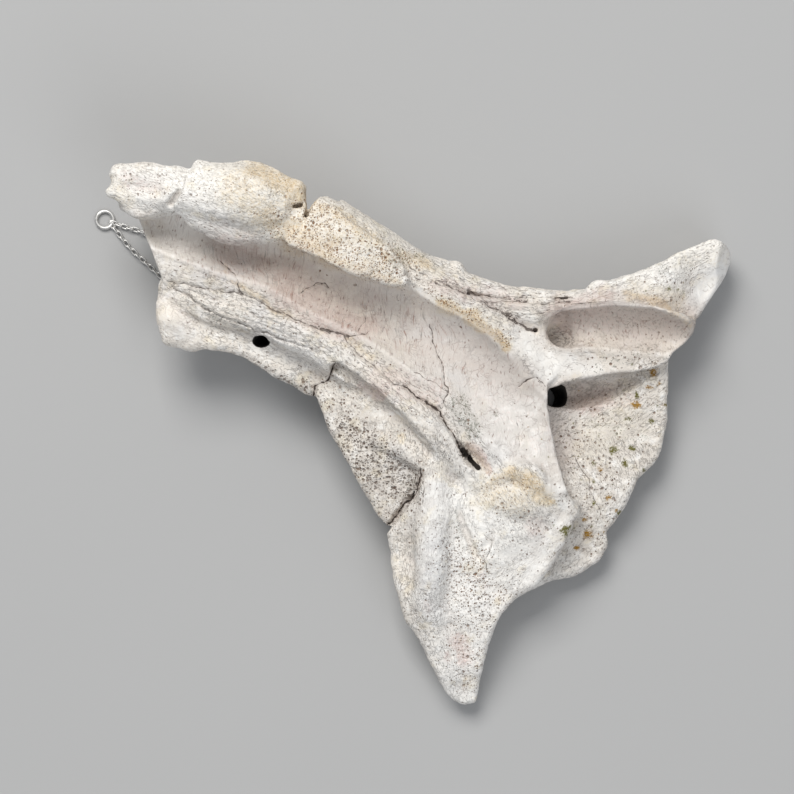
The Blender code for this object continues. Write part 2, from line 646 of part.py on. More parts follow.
def make_eye(parts, material):
    """The screw eye under the bone's left end, which holds the chain."""
    bpy.ops.mesh.primitive_torus_add(
        major_radius=EYE_RADIUS, minor_radius=EYE_WIRE, major_segments=16, minor_segments=6,
        location=(EYE_PLACE[0] * MM, EYE_PLACE[1] * MM, EYE_RADIUS + EYE_WIRE + FLOOR_CLEARANCE),
        rotation=(math.pi / 2, 0, 0),
    )
    take(bpy.context.object, "screw_eye", parts, material)


def make_strand(name, route, parts, material):
    """A plain tube along one strand of the chain."""
    curve = bpy.data.curves.new(name, "CURVE")
    curve.dimensions = "3D"
    curve.bevel_depth = CHAIN_RADIUS
    curve.bevel_resolution = 2
    curve.use_fill_caps = True
    rows = smooth_run(route, 3)
    line = curve.splines.new("POLY")
    line.points.add(len(rows) - 1)
    for place, row in zip(line.points, rows):
        place.co = (*(row * MM), 1)
    take(to_mesh(add_object(name, curve, parts), parts), name, parts, material)


def take(made, name, parts, material, lowered=0.0):
    """Names an object, gives it its material, keeps it with the parts and sets it in its place."""
    for home in list(made.users_collection):
        home.objects.unlink(made)
    parts.objects.link(made)
    made.name = name
    made.data.name = name
    made.data.materials.clear()
    made.data.materials.append(material)
    made.data.shade_smooth()
    made.data.set_sharp_from_angle(angle=math.radians(SHARP_FROM))
    made.location -= Vector((*PLAN_CENTRE, lowered)) * MM


def main():
    for old in list(bpy.data.objects):
        bpy.data.objects.remove(old)
    parts = bpy.data.collections.new("whale_bone")
    cutters = bpy.data.collections.new("cutters")
    for collection in (parts, cutters):
        bpy.context.scene.collection.children.link(collection)
    materials = {name: make_material(name) for name in MATERIALS}

    bone = make_bone(parts, cutters)
    divide(bone, parts, cutters)
    for part in list(parts.objects):
        kind = "ochre_bone" if part.name in OCHRE_PARTS else "bone"
        take(part, part.name, parts, materials[kind], lowered=REST_LEVEL)
    for cutter in cutters.objects:
        cutter.hide_render = True
        cutter.display_type = "WIRE"
    make_ring(parts, materials["steel"])
    make_eye(parts, materials["steel"])
    make_strand("chain_upper", UPPER_STRAND, parts, materials["steel"])
    make_strand("chain_lower", LOWER_STRAND, parts, materials["steel"])


main()
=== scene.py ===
"""The looks of a weathered piece of whale bone with the fine chain and ring it wears.

The bone's skin is grown on a grid of signed distances from the same stations as the solids, in
millimetres, then given cracks, pores and fibres, and skinned with quads. Stations have a plan and a
height of their own, and the finished skin is set down from them onto the floor, as the solids are.
"""

import math

import bpy
import numpy as np
from mathutils import Matrix, Vector

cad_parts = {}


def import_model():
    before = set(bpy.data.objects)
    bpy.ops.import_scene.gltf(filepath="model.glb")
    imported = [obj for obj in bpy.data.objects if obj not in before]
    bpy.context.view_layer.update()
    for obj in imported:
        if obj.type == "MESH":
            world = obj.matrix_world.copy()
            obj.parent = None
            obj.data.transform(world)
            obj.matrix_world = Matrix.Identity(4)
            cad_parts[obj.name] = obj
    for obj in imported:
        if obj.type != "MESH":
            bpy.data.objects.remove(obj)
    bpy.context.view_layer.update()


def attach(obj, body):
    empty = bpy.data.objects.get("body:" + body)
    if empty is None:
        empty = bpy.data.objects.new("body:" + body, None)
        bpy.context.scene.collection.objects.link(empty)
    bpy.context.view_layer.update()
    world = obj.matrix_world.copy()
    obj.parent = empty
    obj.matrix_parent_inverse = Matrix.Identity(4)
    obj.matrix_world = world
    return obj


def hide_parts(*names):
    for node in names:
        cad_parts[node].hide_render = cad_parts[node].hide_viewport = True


MM = 0.001
PLAN_CENTRE = (-0.4, 0.9)   # the stations' plan place of the frame's origin
REST_LEVEL = 4.5            # the stations' height at which the bone meets the floor
FLOOR_CLEARANCE = 0.4       # under the ring and the chain

# The grid
GRID_LOW = (-276, -238, -2)
GRID_HIGH = (280, 241, 156)
CELL = 2.2                  # grid on which the forms are blended; the skin's grid is twice as fine
FAR = 1000.0                # a distance outside every form's reach
SPARE = 8                   # how far past its blend a form's distances are worked out
BAND = 2.6                  # how far from the skin the relief is worked out
STEEPEST = 12.0             # distances are kept between plus and minus this
EVEN_WITHIN = STEEPEST * 0.6
SLOPES_EVENED = (0.75, 2.5)  # slopes beyond these count as these
CRACK_REACH = 5.0           # how many of its half widths from a crack its paint can reach
CRACK_SPREAD = 0.3          # share of a plan cell by which a crack is widened, so that the grid holds it

# Runs of elliptical sections: x, y, z, half width, half height
KEEL = [
    (-245, 172, 62, 30, 34), (-216, 160, 58, 36, 38), (-160, 142, 54, 46, 44), (-100, 118, 50, 52, 46),
    (-30, 84, 46, 58, 46), (40, 44, 44, 62, 42), (100, 0, 48, 62, 34), (130, -20, 50, 60, 30),
]
UPPER_WALL = [
    (-224, 196, 84, 13, 28), (-204, 194, 92, 19, 36), (-160, 194, 90, 26, 44), (-100, 186, 84, 28, 44),
    (-50, 164, 78, 26, 40), (-12, 141, 66, 24, 31), (40, 108, 58, 28, 33), (84, 75, 55, 25, 28),
    (110, 49, 52, 18, 21),
]
CANAL = [
    (-290, 194, 168, 36, 92), (-234, 174, 168, 36, 92), (-163, 150, 166, 35, 93), (-119, 140, 166, 38, 95),
    (-83, 120, 165, 40, 95), (-29, 94, 164, 42, 96), (3, 72, 164, 45, 97), (40, 50, 163, 50, 98),
    (88, 4, 163, 62, 99), (111, -18, 164, 66, 98), (140, -42, 168, 66, 98),
]
CANAL_LEAN = (-0.10, -0.20, 1)
RIM_RIDGE = [
    (-236, 210, 118, 12, 12), (-205, 204, 120, 14, 14), (-175, 204, 124, 20, 18), (-145, 205, 128, 22, 19),
    (-112, 196, 120, 18, 17),
]
CREST = [(72, 90, 74, 5, 9), (88, 75, 73, 4, 8), (104, 57, 71, 3.5, 7), (115, 41, 68, 2.5, 5)]
LOWER_BAR = [
    (-206, 126, 74, 9, 10), (-175, 112, 80, 14, 12), (-130, 100, 83, 16, 14), (-80, 76, 84, 15, 14),
    (-35, 48, 84, 14, 14), (5, 16, 82, 13, 14), (32, -12, 75, 12, 13), (54, -38, 66, 11, 11),
]
BACK_BAR = [
    (-30, 140, 56, 16, 20), (20, 132, 58, 15, 18), (60, 118, 60, 16, 18), (105, 108, 60, 17, 18),
    (150, 108, 58, 17, 20), (185, 118, 52, 20, 22),
]
LEFT_RIDGE = [
    (30, -6, 66, 11, 12), (19, -32, 67, 14, 13), (17, -70, 69, 15, 15), (16, -112, 61, 14, 16),
    (15, -150, 47, 13, 14), (30, -192, 28, 12, 10),
]
KNOB = [
    (62, -42, 65, 8, 9), (83, -30, 71, 10, 12), (100, -34, 72, 11, 12), (114, -46, 67, 9, 11),
    (136, -64, 58, 6, 8),
]
KNOB_RIDGE = [(137, -62, 50, 7, 8), (122, -84, 46, 9, 11), (106, -106, 39, 9, 12), (94, -124, 28, 8, 10)]

# Lumps and swellings on the plates
SWELLINGS = {
    "rim_end_top": [(-248, 222, 114, 8, 9), (-225, 222, 118, 8, 9), (-200, 219, 122, 8, 9)],
    "rim_end_band": [(-240, 197, 106, 8, 8), (-222, 191, 106, 8, 8), (-204, 194, 108, 8, 8)],
    "hump_crown": [(-165, 204, 118, 24, 24), (-132, 198, 118, 26, 27)],
    "lobe_crown": [(-205, 100, 70, 12, 16), (-188, 84, 66, 12, 12)],
    "knob_face": [(70, -54, 61, 15, 16), (93, -52, 64, 20, 18), (117, -64, 57, 14, 13)],
    "plate_bridge": [(-30, -2, 66, 8, 8), (-4, -14, 70, 8, 8), (16, -28, 70, 8, 8)],
    "back_bump": [(20, 143, 60, 7, 8), (38, 141, 62, 7, 9)],
    "outer_band": [(-62, 12, 52, 7, 8), (-44, -26, 50, 7, 8), (-24, -62, 46, 7, 8)],
}
SWELLING_BLEND = 8

# Hollows: the width of the soft edge, then the run
HOLLOWS = {
    "rim_end_dip": (10, [(-240, 210, 135, 7, 10), (-218, 208, 137, 8, 10)]),
    "rim_end_waist": (5, [(-190, 228, 138, 3, 12), (-194, 210, 141, 3, 8), (-204, 194, 134, 3, 8)]),
    "hump_notch": (4, [(-86, 196, 130, 2.5, 24), (-89, 187, 136, 1.5, 12), (-92, 180, 138, 1, 8)]),
    "hump_shelf": (5, [(-93, 204, 152, 8, 20), (-101, 184, 150, 9, 22), (-112, 170, 146, 6, 18)]),
    "flange_ledge": (3, [(-136, 57, 88, 4, 18), (-112, 46, 82, 5, 17), (-90, 36, 78, 4, 15)]),
    "upper_furrow": (3, [(46, 122, 88, 1.5, 12), (90, 114, 90, 2.5, 14), (140, 113, 90, 2, 13)]),
    "flange_valley": (7, [
        (-206, 122, 96, 5, 8), (-182, 104, 98, 7, 12), (-152, 88, 94, 7, 12), (-120, 72, 86, 6, 8),
    ]),
    "plate_valley": (6, [
        (-64, 58, 92, 5, 10), (-36, 36, 90, 6, 14), (-12, 12, 92, 7, 16), (8, -8, 91, 6, 12),
    ]),
    "plate_hollow": (8, [(-10, -38, 84, 12, 12), (-2, -52, 82, 8, 12)]),
    "ridge_groove": (3, [
        (38, -50, 92, 4, 15), (42, -72, 86, 5, 18), (50, -92, 79, 5, 15), (58, -107, 72, 4, 10),
    ]),
    "process_fold": (5, [(68, -84, 82, 4, 12), (61, -98, 77, 4, 11), (57, -108, 72, 3, 6)]),
    "bowl": (4, [
        (120, 88, 88, 15, 34), (140, 90, 96, 20, 46), (168, 90, 104, 23, 54), (200, 87, 104, 24, 53),
        (230, 82, 106, 21, 49), (256, 76, 108, 18, 45),
    ]),
    "bowl_pit": (8, [(133, 91, 70, 15, 14), (127, 85, 56, 13, 11), (122, 79, 47, 9, 7)]),
    "recess": (4, [
        (122, 34, 46, 10, 18), (142, 35, 48, 13, 22), (165, 38, 50, 11, 20), (190, 46, 54, 6, 14),
    ]),
    "nerve_hole": (3, [(40, -7, 88, 2, 11), (49, -20, 86, 5, 42), (56, -29, 82, 2.5, 14)]),
    "nerve_lip": (5, [(47, -12, 85, 5, 12), (56, -23, 83, 6, 13)]),
    "hump_pit": (2, [(-99.5, 193.5, 130, 1, 11), (-93, 194.5, 130, 1.2, 11)]),
    "block_pit": (1, [(-3, 137, 112, 2.5, 3), (-2, 137, 98, 2, 2)]),
    "tail_pit": (1, [(122, 116, 80, 1.5, 9), (132, 118, 80, 1.5, 9)]),
    "corner_pit": (1, [(106, 91, 100, 2.5, 2.5), (105, 90, 62, 2, 2)]),
}
UNDER_GROOVE = [
    (-250, 176, 20, 8, 10), (-160, 142, 2, 16, 12), (-60, 100, -4, 20, 14), (40, 44, -4, 22, 14),
    (110, -8, 6, 20, 14), (150, -34, 14, 16, 12),
]
THROUGH_HOLE = [(125, 34, 60, 11, 8.5), (124, 34, 36, 11, 8.5), (92, 28, -20, 13, 10)]
BAR_HOLE = [(-128, 81, 100, 7, 4.5), (-127, 81, 64, 6, 4), (-104, 92, -10, 6, 5)]
HOLES = ((THROUGH_HOLE, 56), (BAR_HOLE, 76))  # each with the height below which its wall is unlit

# Plates: an outline in plan, and levels: x, y, height of the top, thickness
RIM_END = ([
    (-256.5, 202), (-258, 207), (-252, 214), (-252, 223), (-246, 229), (-231, 226), (-187, 224), (-176, 206),
    (-184, 188), (-205, 188), (-219, 184), (-232, 183), (-242, 190), (-247, 197),
], [
    (-250, 208, 126, 24), (-230, 208, 132, 34), (-200, 206, 134, 40), (-240, 192, 118, 26),
    (-205, 190, 116, 34), (-220, 224, 120, 30),
])
RIM_HUMP = ([
    (-190, 212), (-183, 230), (-173, 232), (-156, 231), (-144, 233), (-131, 231), (-117, 227), (-103, 219),
    (-90, 213), (-90, 192), (-96, 166), (-112, 163), (-137, 161.5), (-156, 161.5), (-172, 167), (-190, 180),
    (-196, 196),
], [
    (-185, 210, 134, 44), (-150, 205, 142, 60), (-110, 205, 140, 56), (-140, 168, 124, 50),
    (-95, 205, 128, 48), (-100, 175, 123, 47), (-175, 180, 125, 47), (-140, 230, 118, 44),
])
BLOCK = ([
    (-87, 186), (-82, 197), (-76, 201), (-52, 182), (-23, 161), (-6, 143), (-3, 130), (-15, 126), (-37, 133),
    (-54, 138), (-73, 147), (-95, 157), (-107, 164), (-98, 178),
], [
    (-90, 185, 126, 50), (-60, 165, 133, 60), (-80, 152, 130, 50), (-45, 140, 126, 50), (-20, 138, 120, 50),
    (-5, 134, 108, 40),
])
CHUNK = ([
    (9.4, 112), (30, 101), (58, 92), (75, 85), (86, 74), (98, 61), (101, 64), (92, 78), (80, 89), (64, 99.5),
    (49, 111), (32, 121.5), (12, 127),
], [
    (12, 120, 94, 30), (45, 106, 90, 28), (75, 88, 84, 24), (98, 64, 76, 16),
])
SHOULDER = ([
    (-10, 140), (12, 120), (50, 102), (84, 84), (108, 56), (116, 44), (128, 60), (110, 76), (104, 96),
    (112, 112), (60, 128), (20, 138),
], [
    (0, 130, 76, 40), (60, 110, 72, 40), (100, 80, 70, 36), (116, 52, 68, 30),
])
FLANGE = ([
    (-218, 112), (-211, 124), (-190, 124), (-140, 100), (-100, 75), (-70, 55), (-72, 42), (-83, 33),
    (-101, 42), (-117, 51), (-144, 67), (-178, 75), (-206, 76), (-214, 84),
], [
    (-205, 98, 84, 36), (-190, 82, 74, 24), (-150, 84, 74, 26), (-110, 62, 70, 24), (-80, 44, 66, 22),
])
POROUS = ([
    (-83, 34), (-81, 47), (-66, 60), (-30, 45), (5, 15), (14, -20), (3, -51), (-9, -66), (-20, -77),
    (-36, -56), (-58, -19), (-72, 8),
], [
    (-70, 40, 72, 26), (-30, 30, 76, 34), (0, 0, 76, 40), (-50, -5, 66, 22), (-5, -45, 64, 28),
    (-20, -72, 50, 18),
])
PROCESS = ([
    (15, -20), (3, -51), (-18, -80), (-19.6, -88), (-16, -118), (-7, -153), (9, -179), (28, -218), (41, -230),
    (50, -231), (56, -227), (59.5, -205), (67, -175), (76, -155), (91, -138), (108, -126), (130, -92),
    (137, -62), (118, -40), (90, -28), (60, -25),
], [
    (10, -50, 74, 40), (17, -80, 72, 50), (-12, -100, 54, 26), (12, -130, 60, 42), (8, -165, 46, 32),
    (48, -60, 75, 50), (60, -100, 69, 50), (50, -140, 58, 54), (45, -185, 42, 46), (48, -226, 24, 28),
    (80, -130, 46, 36), (100, -105, 54, 40), (72, -74, 76, 48), (97, -78, 73, 46), (122, -68, 66, 36),
])
BACK = ([
    (219, 66), (219, 43), (219, 29), (218, 11), (211, -20), (194, -37), (181, -63), (169, -82), (168, -94),
    (157, -110.5), (138, -121), (120, -124), (98, -132), (85, -110), (95, -60), (102, -10), (106, 30),
    (120, 60), (165, 66), (200, 66),
], [
    (210, 50, 50, 30), (165, 30, 40, 36), (208, 0, 34, 24), (165, -20, 42, 28), (115, 40, 42, 40),
    (140, 50, 40, 38), (120, 0, 38, 30), (140, -60, 44, 28), (155, -100, 28, 24), (115, -115, 32, 28),
])
WING = ([
    (140, 110), (151, 128), (160, 133), (170, 132), (185, 138), (211, 148), (236, 160), (259, 168),
    (273, 155), (268, 137), (257, 120), (245, 103), (236, 98), (200, 96), (160, 96),
], [
    (160, 118, 76, 40), (210, 130, 76, 60), (262, 155, 60, 58), (254, 122, 42, 50), (236, 104, 60, 54),
    (200, 104, 80, 44),
])
LOBE = ([
    (96, 88), (110, 104), (150, 118), (200, 112), (238, 100), (241, 92), (234, 80), (222, 70), (216, 62),
    (200, 56), (165, 52), (135, 46), (116, 41), (108, 56),
], [
    (108, 66, 70, 62), (130, 88, 72, 62), (160, 70, 64, 30), (210, 70, 64, 28), (236, 90, 74, 34),
    (170, 115, 82, 44), (210, 106, 86, 44), (120, 46, 66, 10), (160, 54, 63, 10), (200, 60, 61, 10),
])
FREE_EDGE = [
    (116, 44), (115, 24), (118, 5), (122, -14), (129, -39), (139, -64), (230, -90), (250, 20), (200, 60),
    (150, 60), (124, 52),
]
OPEN_END = [
    (-236, 215), (-236, 192), (-229, 176), (-217, 149), (-211, 132), (-211, 118), (-230, 100), (-290, 110),
    (-290, 215),
]
CUT_LEVELS = [(0, 0, 180, 240)]
NOTCH = [(-88.5, 189), (-90, 206), (-90, 225), (-60, 225), (-61, 197), (-72, 202.5), (-78, 202), (-83, 197)]
# Three points of the upper process's right facet, and the box that it is cut in
WING_CREASE = ((237, 108, 77), (259, 160, 66), (262, 118, 40))
FACET_BOX = ((226, 90, 0), (290, 180, 110))
FACET_BLEND = 3

# Cracks and sutures in plan: how wide, how deep and how dark, then the line
CRACKS = [
    (0.9, 2.2, 1.0, [(-83, 33), (-82, 42.5), (-78, 45), (-71, 48), (-69, 55), (-67, 60)]),
    (1.0, 9.0, 1.0, [(-21, -77), (-10, -64), (-3, -54), (2, -48), (7, -37), (8, -29)]),
    (0.5, 1.0, 0.8, [(15, 94), (20, 77), (25.5, 60), (30, 39), (25, 24)]),
    (0.4, 0.8, 0.7, [(3, 55), (15, 48), (29, 39)]),
    (0.45, 0.9, 0.9, [(-93, 122), (-88, 127.5), (-80, 129), (-74, 130.5), (-71, 128)]),
    (0.5, 1.6, 0.8, [(-147, 127), (-144, 123), (-142, 120.5)]),
    (0.4, 1.4, 0.5, [(-90, 186), (-93, 180), (-97, 169)]),
    (0.8, 1.8, 0.5, [(-203, 127), (-166, 103), (-138, 93), (-104, 79), (-80, 70)]),
    (0.5, 1.3, 0.45, [(-190, 124), (-150, 110), (-100, 90), (-60, 68), (-20, 40), (20, 8), (46, -24)]),
    (0.5, 1.2, 0.4, [(-180, 112), (-130, 95), (-85, 76), (-45, 52), (-5, 22), (28, -10), (52, -36)]),
    (0.5, 1.4, 0.6, [(2, 134), (30, 126), (58, 114), (78, 103)]),
    (0.4, 1.3, 0.75, [(43.5, 121), (60, 113), (78, 104.5), (92, 92.5), (105, 88)]),
    (0.4, 1.0, 0.6, [(60, 114), (90, 114), (128, 113), (157, 113)]),
    (1.0, 2.0, 0.9, [(126, 117.5), (132, 118)]),
    (0.4, 1.0, 0.5, [(20, 132), (56, 121), (90, 119), (124, 118)]),
    (0.4, 0.8, 0.5, [(122, -19), (130, -21), (138, -16)]),
    (0.5, 1.0, 0.6, [(138, -16), (150, -36), (160, -64)]),
    (0.35, 0.7, 0.35, [(170, 38), (178, 45), (190, 53)]),
    (0.3, 0.6, 0.5, [(-24, 110), (-22, 96), (-27, 82)]),
    (0.3, 0.6, 0.5, [(52, 76), (47, 60), (50, 44)]),
    (0.5, 0.9, 0.8, [(-78, 94), (-67, 90), (-57, 85), (-37, 88)]),
    (0.45, 1.0, 0.6, [(-161.5, 148), (-150, 137), (-144, 124)]),
    (0.5, 1.0, 0.9, [(90, 42.5), (96, 47), (106, 50), (112, 42.5)]),
    (0.7, 1.6, 0.9, [(81, 104), (94, 94), (104, 90)]),
    (0.4, 0.8, 0.6, [(-41, 112), (-39, 98), (-44, 90)]),
    (0.4, 0.9, 0.8, [(9, -40), (9, -58)]),
    (0.4, 0.7, 0.5, [(88, 12), (93, 2), (90, -8)]),
    (0.5, 0.9, 0.6, [(62, -84), (68, -92), (60, -106), (66, -116)]),
    (0.7, 1.4, 0.6, [
        (-205, 131), (-172, 125), (-140, 120), (-127, 113), (-100, 99), (-75, 90), (-57, 85), (-48, 70),
        (-31, 60), (-19, 47), (-8.5, 42),
    ]),
    (0.9, 2.0, 1.0, [(-8.5, 42), (2, 36), (10, 30), (23, 19.5), (29, 10), (36.5, 0), (42.5, -13)]),
    (0.4, 0.8, 0.4, [(20, 124), (44, 114), (66, 100), (80, 90), (92, 86)]),
    (0.4, 1.0, 0.6, [(-2, 143), (15, 134), (38, 129), (55, 121), (78, 117), (100, 117)]),
    (0.35, 0.8, 0.55, [(18, 147), (44, 134), (66, 127), (95, 123)]),
    (0.35, 0.8, 0.6, [(70, 107), (86, 104), (102, 103), (118, 108)]),
    (0.4, 0.8, 0.4, [(-2, 140), (30, 128), (62, 112), (84, 106)]),
]

# Strokes in plan: from x, y, to x, y, radius, strength
TINTS = {
    "porous": [
        (-95, 167, -14, 141, 20, 1.0), (-74, 188, -70, 180, 16, 1.0), (14, 120, 50, 100, 9, 1.0),
        (50, 100, 80, 80, 7, 1.0), (-57, -2, -4, -38, 17, 1.0), (-70, 31, -19, -63, 26, 0.6),
        (40, -105, 66, -139, 22, 0.9), (44, -130, 48, -205, 16, 0.6), (-180, 209, -104, 201, 28, 0.2),
        (-108, 179, -100, 176, 14, 0.7), (-248, 218, -206, 209, 12, 0.35), (75, -63, 117, -80, 14, 0.4),
        (66, -36, 126, -54, 8, 0.35), (139, 14, 202, 31, 16, 0.35), (150, -20, 165, -85, 26, 0.45),
        (194, 133, 236, 124, 12, 0.35), (-134, 60, -88, 38, 6, 0.8), (160, 60, 202, 73, 9, 0.5),
        (39, 26, 52, 6, 7, 0.8),
    ],
    "ochre": [
        (-130, 226, -95, 207, 10, 0.9), (-146, 209, -128, 185, 14, 0.5), (-118, 184, -108, 170, 8, 0.6),
        (-99, 171, -70, 158, 9, 0.7), (-84, 190, -27, 152, 20, 0.55), (-104, 160, -12, 129, 5, 0.6),
        (-80, 196, -30, 166, 5, 0.5), (26, 113, 52, 101, 6, 0.9), (52, 101, 82, 77, 5, 1.0),
        (180, 118, 208, 115, 3, 0.9), (208, 115, 228, 105, 3, 1.0), (228, 105, 239, 96, 3, 0.9),
        (190, 125, 226, 114, 8, 0.4), (70, -38, 84, -30, 5, 0.65), (84, -29, 97, -36, 6, 0.75),
        (98, -38, 114, -54, 6, 0.85), (60, -46, 92, -50, 13, 0.4), (-250, 212, -240, 200, 7, 0.45),
        (-159, 143, -144, 122, 2, 0.5), (-144, 122, -104, 103, 3, 0.7), (-53, 82, -34, 66, 3, 0.6),
        (45, -3, 60, -25, 4, 0.45), (48, -212, 48, -206, 5, 0.5), (72, -143, 71, -139, 3, 0.5),
        (3, 148, 24, 139, 5, 0.5), (58, 107, 79, 94, 5, 0.4), (236, 148, 262, 158, 10, 0.25),
        (-61, -3, -55, -8, 5, 0.4), (24, -33, 24, -28, 6, 0.35), (-9, -2, -7, -4, 4, 0.6),
        (-20, 152, 12, 146, 5, 0.6), (-150, 215, -110, 200, 26, 0.3), (70, -50, 95, -60, 12, 0.3),
        (150, -5, 190, 15, 16, 0.3),
    ],
    "pink": [
        (-150, 150, -40, 100, 22, 0.45), (-104, 124, -57, 90, 14, 0.55), (-57, 99, -40, 94, 8, 0.9),
        (-27, 48, 15, 35, 14, 0.5), (-155, 158, -104, 141, 14, 0.3), (-240, 218, -210, 209, 9, 0.45),
        (126, 103, 160, 116, 12, 0.7), (140, 100, 230, 98, 14, 0.5), (139, 26, 164, 35, 9, 0.7),
        (160, 22, 194, 31, 6, 0.45), (105, -80, 108, -76, 10, 0.5), (37, -173, 45, -190, 7, 0.7),
        (60, -122, 58, -118, 6, 0.4), (11, -148, 12, -144, 4, 0.4), (31, -192, 30, -188, 4, 0.5),
        (-214, 116, -189, 99, 10, 0.25), (-29, 34, -27, 33, 4, 0.9), (-44, 43, -31, 35, 5, 0.5),
        (20, 130, 90, 112, 8, 0.5), (50, -8, 60, -18, 4, 0.9), (60, -18, 63, -28, 4, 1.0),
        (60, 40, 110, 0, 30, 0.25),
    ],
    "moss": [
        (-14, 156, -11, 148, 5, 0.8), (-189, 116, -146, 94, 9, 0.3), (-146, 107, -70, 73, 7, 0.3),
        (-134, 60, -88, 38, 6, 0.6), (-67, 58, -62, 56, 3, 1.0), (39, 26, 52, 6, 8, 1.0),
        (42, 22, 50, 10, 5, 1.0), (10, 156, 0, 150, 4, 0.7), (160, 58, 202, 77, 8, 0.55),
        (-6, -88, -2, -139, 7, 0.3), (37, -71, 49, -93, 6, 0.5), (134, 31, 126, 5, 9, 0.5),
        (168, 5, 194, -3, 12, 0.4), (190, 139, 215, 143, 4, 0.5), (-2, -36, 0, -40, 6, 0.5),
        (74, 20, 74, 19, 2.5, 0.9), (-8, -20, 10, -44, 7, 0.3),
    ],
    "cool": [
        (21, -43, 16, -155, 12, 0.8), (40, 70, 100, -10, 40, 0.6), (-197, 167, -163, 141, 22, 0.4),
        (245, 116, 262, 140, 12, 0.8), (-10, -12, -7, -29, 8, 0.4), (117, -80, 88, -131, 8, 0.5),
        (-130, 100, -80, 72, 12, 0.5), (-180, 185, -150, 172, 8, 0.4),
    ],
    # painted shade: strokes that darken walls and recesses as if in shade, on the canal's and the bowl's
    # walls, beside the through hole and in smaller hollows
    "sheltered": [
        (-238, 168, -160, 160, 16, 0.4), (-160, 150, -100, 132, 24, 0.75), (-100, 132, -50, 108, 24, 0.8),
        (-50, 112, 0, 86, 24, 0.8), (0, 92, 50, 72, 20, 0.95), (50, 72, 96, 44, 14, 0.9),
        (10, 70, 60, 44, 22, 0.35), (140, 104, 234, 98, 15, 1.0), (176, 98, 238, 92, 18, 0.8),
        (118, 90, 134, 84, 12, 0.8), (126, 34, 150, 36, 12, 1.0), (150, 36, 178, 44, 9, 0.6),
        (148, 78, 200, 78, 14, 0.45), (30, 126, 76, 110, 5, 0.6), (76, 110, 128, 111, 5, 0.6),
        (84, 100, 104, 91, 4, 0.7), (122, 12, 130, -22, 9, 0.75), (47, -9, 58, -22, 4, 0.9),
        (126, 12, 140, -2, 10, 0.5),
    ],
    "clean": [
        (116, 62, 176, 56, 9, 0.8), (98, 84, 114, 52, 8, 0.7), (-208, 104, -190, 84, 12, 0.6),
        (252, 118, 268, 150, 10, 0.9), (134, -70, 100, -118, 6, 0.5), (18, -40, 14, -120, 9, 0.4),
        (-240, 170, -200, 150, 20, 0.5),
    ],
    "pale": [
        (-175, 205, -120, 196, 32, 1.0), (-190, 184, -120, 168, 12, 0.8), (-250, 210, -200, 205, 20, 0.8),
        (160, 118, 262, 158, 20, 0.8), (50, -60, 100, -100, 36, 1.0), (46, -120, 50, -222, 28, 1.0),
        (-90, 180, -30, 150, 20, 1.0), (110, 62, 150, 56, 10, 0.9), (250, 120, 262, 146, 12, 0.8),
        (90, -40, 130, -60, 14, 0.6), (96, 96, 112, 52, 8, 0.8), (-130, 78, -80, 62, 7, 0.6),
    ],
    "dull": [
        (-58, 0, -6, -40, 20, 1.0), (-24, -18, -6, -38, 14, 1.0), (-60, 0, -16, -60, 30, 0.6),
        (150, 0, 150, -90, 44, 0.7), (200, 40, 200, -10, 22, 0.6), (140, 92, 240, 88, 26, 0.8),
        (50, 40, 100, -10, 44, 0.3), (-134, 60, -88, 38, 6, 0.7), (124, 14, 132, -24, 10, 0.7),
    ],
    "shadowed": [(48, -19, 54, -27, 2.6, 1.0)],
    "fibrous": [
        (-206, 126, -130, 100, 16, 1.0), (-130, 100, -35, 48, 15, 1.0), (-35, 48, 50, -30, 13, 1.0),
        (-200, 206, -172, 176, 12, 1.0), (-172, 176, -120, 166, 9, 1.0), (-244, 198, -200, 192, 8, 0.8),
        (-30, 146, 60, 118, 16, 1.0), (60, 118, 150, 108, 18, 1.0), (150, 118, 262, 158, 16, 0.6),
        (14, -30, 16, -155, 16, 0.5), (137, -62, 94, -126, 10, 0.7), (60, -40, 130, -56, 12, 0.5),
        (130, 40, 190, 52, 14, 0.5),
    ],
    "speckled": [(134, -10, 160, -100, 32, 1.0), (176, 40, 205, 10, 28, 1.0), (190, 130, 230, 122, 14, 0.8)],
}

# Lichens in plan: x, y, radius
LICHENS = {
    "orange": [
        (206.5, 54, 2.8), (192, 27, 3.4), (203, 41, 2.2), (218, 26, 1.8), (151, -85, 3.6), (182, -23, 1.8),
        (161.5, -28, 2.4), (149, -72, 2.6), (142, -96, 1.7), (212, 44, 1.6), (176, -63, 1.4), (168, -52, 1.8),
    ],
    "olive": [
        (193, 34, 2.6), (189, -11, 2.4), (172, -13, 2.8), (155, -24, 2.0), (182, -23, 2.6), (205, 12, 1.8),
        (178, -65, 1.6), (155, -58, 1.8), (131, -81, 4.0), (136, -78, 2.2), (218, 26, 1.6), (184, 14, 2.0),
        (198, -30, 1.5), (226, 124, 1.3), (218, 125, 1.6), (232, 122, 1.2), (180, 40, 1.2), (155, -40, 1.2),
    ],
}

# Directions that the bone's fibres follow: lines in plan
FIBRE_LINES = [
    [(-250, 205), (-190, 180), (-120, 150), (-60, 125), (0, 80), (50, 30), (75, -20), (100, -60)],
    [(-60, 160), (0, 140), (60, 118), (120, 112), (170, 118), (262, 158)],
    [(16, -30), (16, -100), (22, -160), (46, -226)],
    [(128, 8), (165, 34), (215, 76)],
    [(150, -14), (166, -60), (120, -122)],
    [(130, 84), (240, 84)],
]

SEED = 7
LINE_APART = 900.0          # between the fibre lines' own lengths, so that no two share a noise
TURN_EACH_SEED = 1.7        # radians by which each noise is turned, so that no two line up
SHIFT_EACH_SEED = 0.37      # cells by which each noise is shifted
LATTICE = 32                # cells in a noise before it repeats

# How the strokes', lichens' and cracks' edges wander: pairs of a noise's size and how far it pushes
TINT_RAGS = ((15, 4.0), (5, 2.0), (2.4, 0.8))
LICHEN_RAGS = ((4, 1.6), (2.2, 1.2))
CRACK_RAGS = ((9, 1.8), (3.5, 1.2))

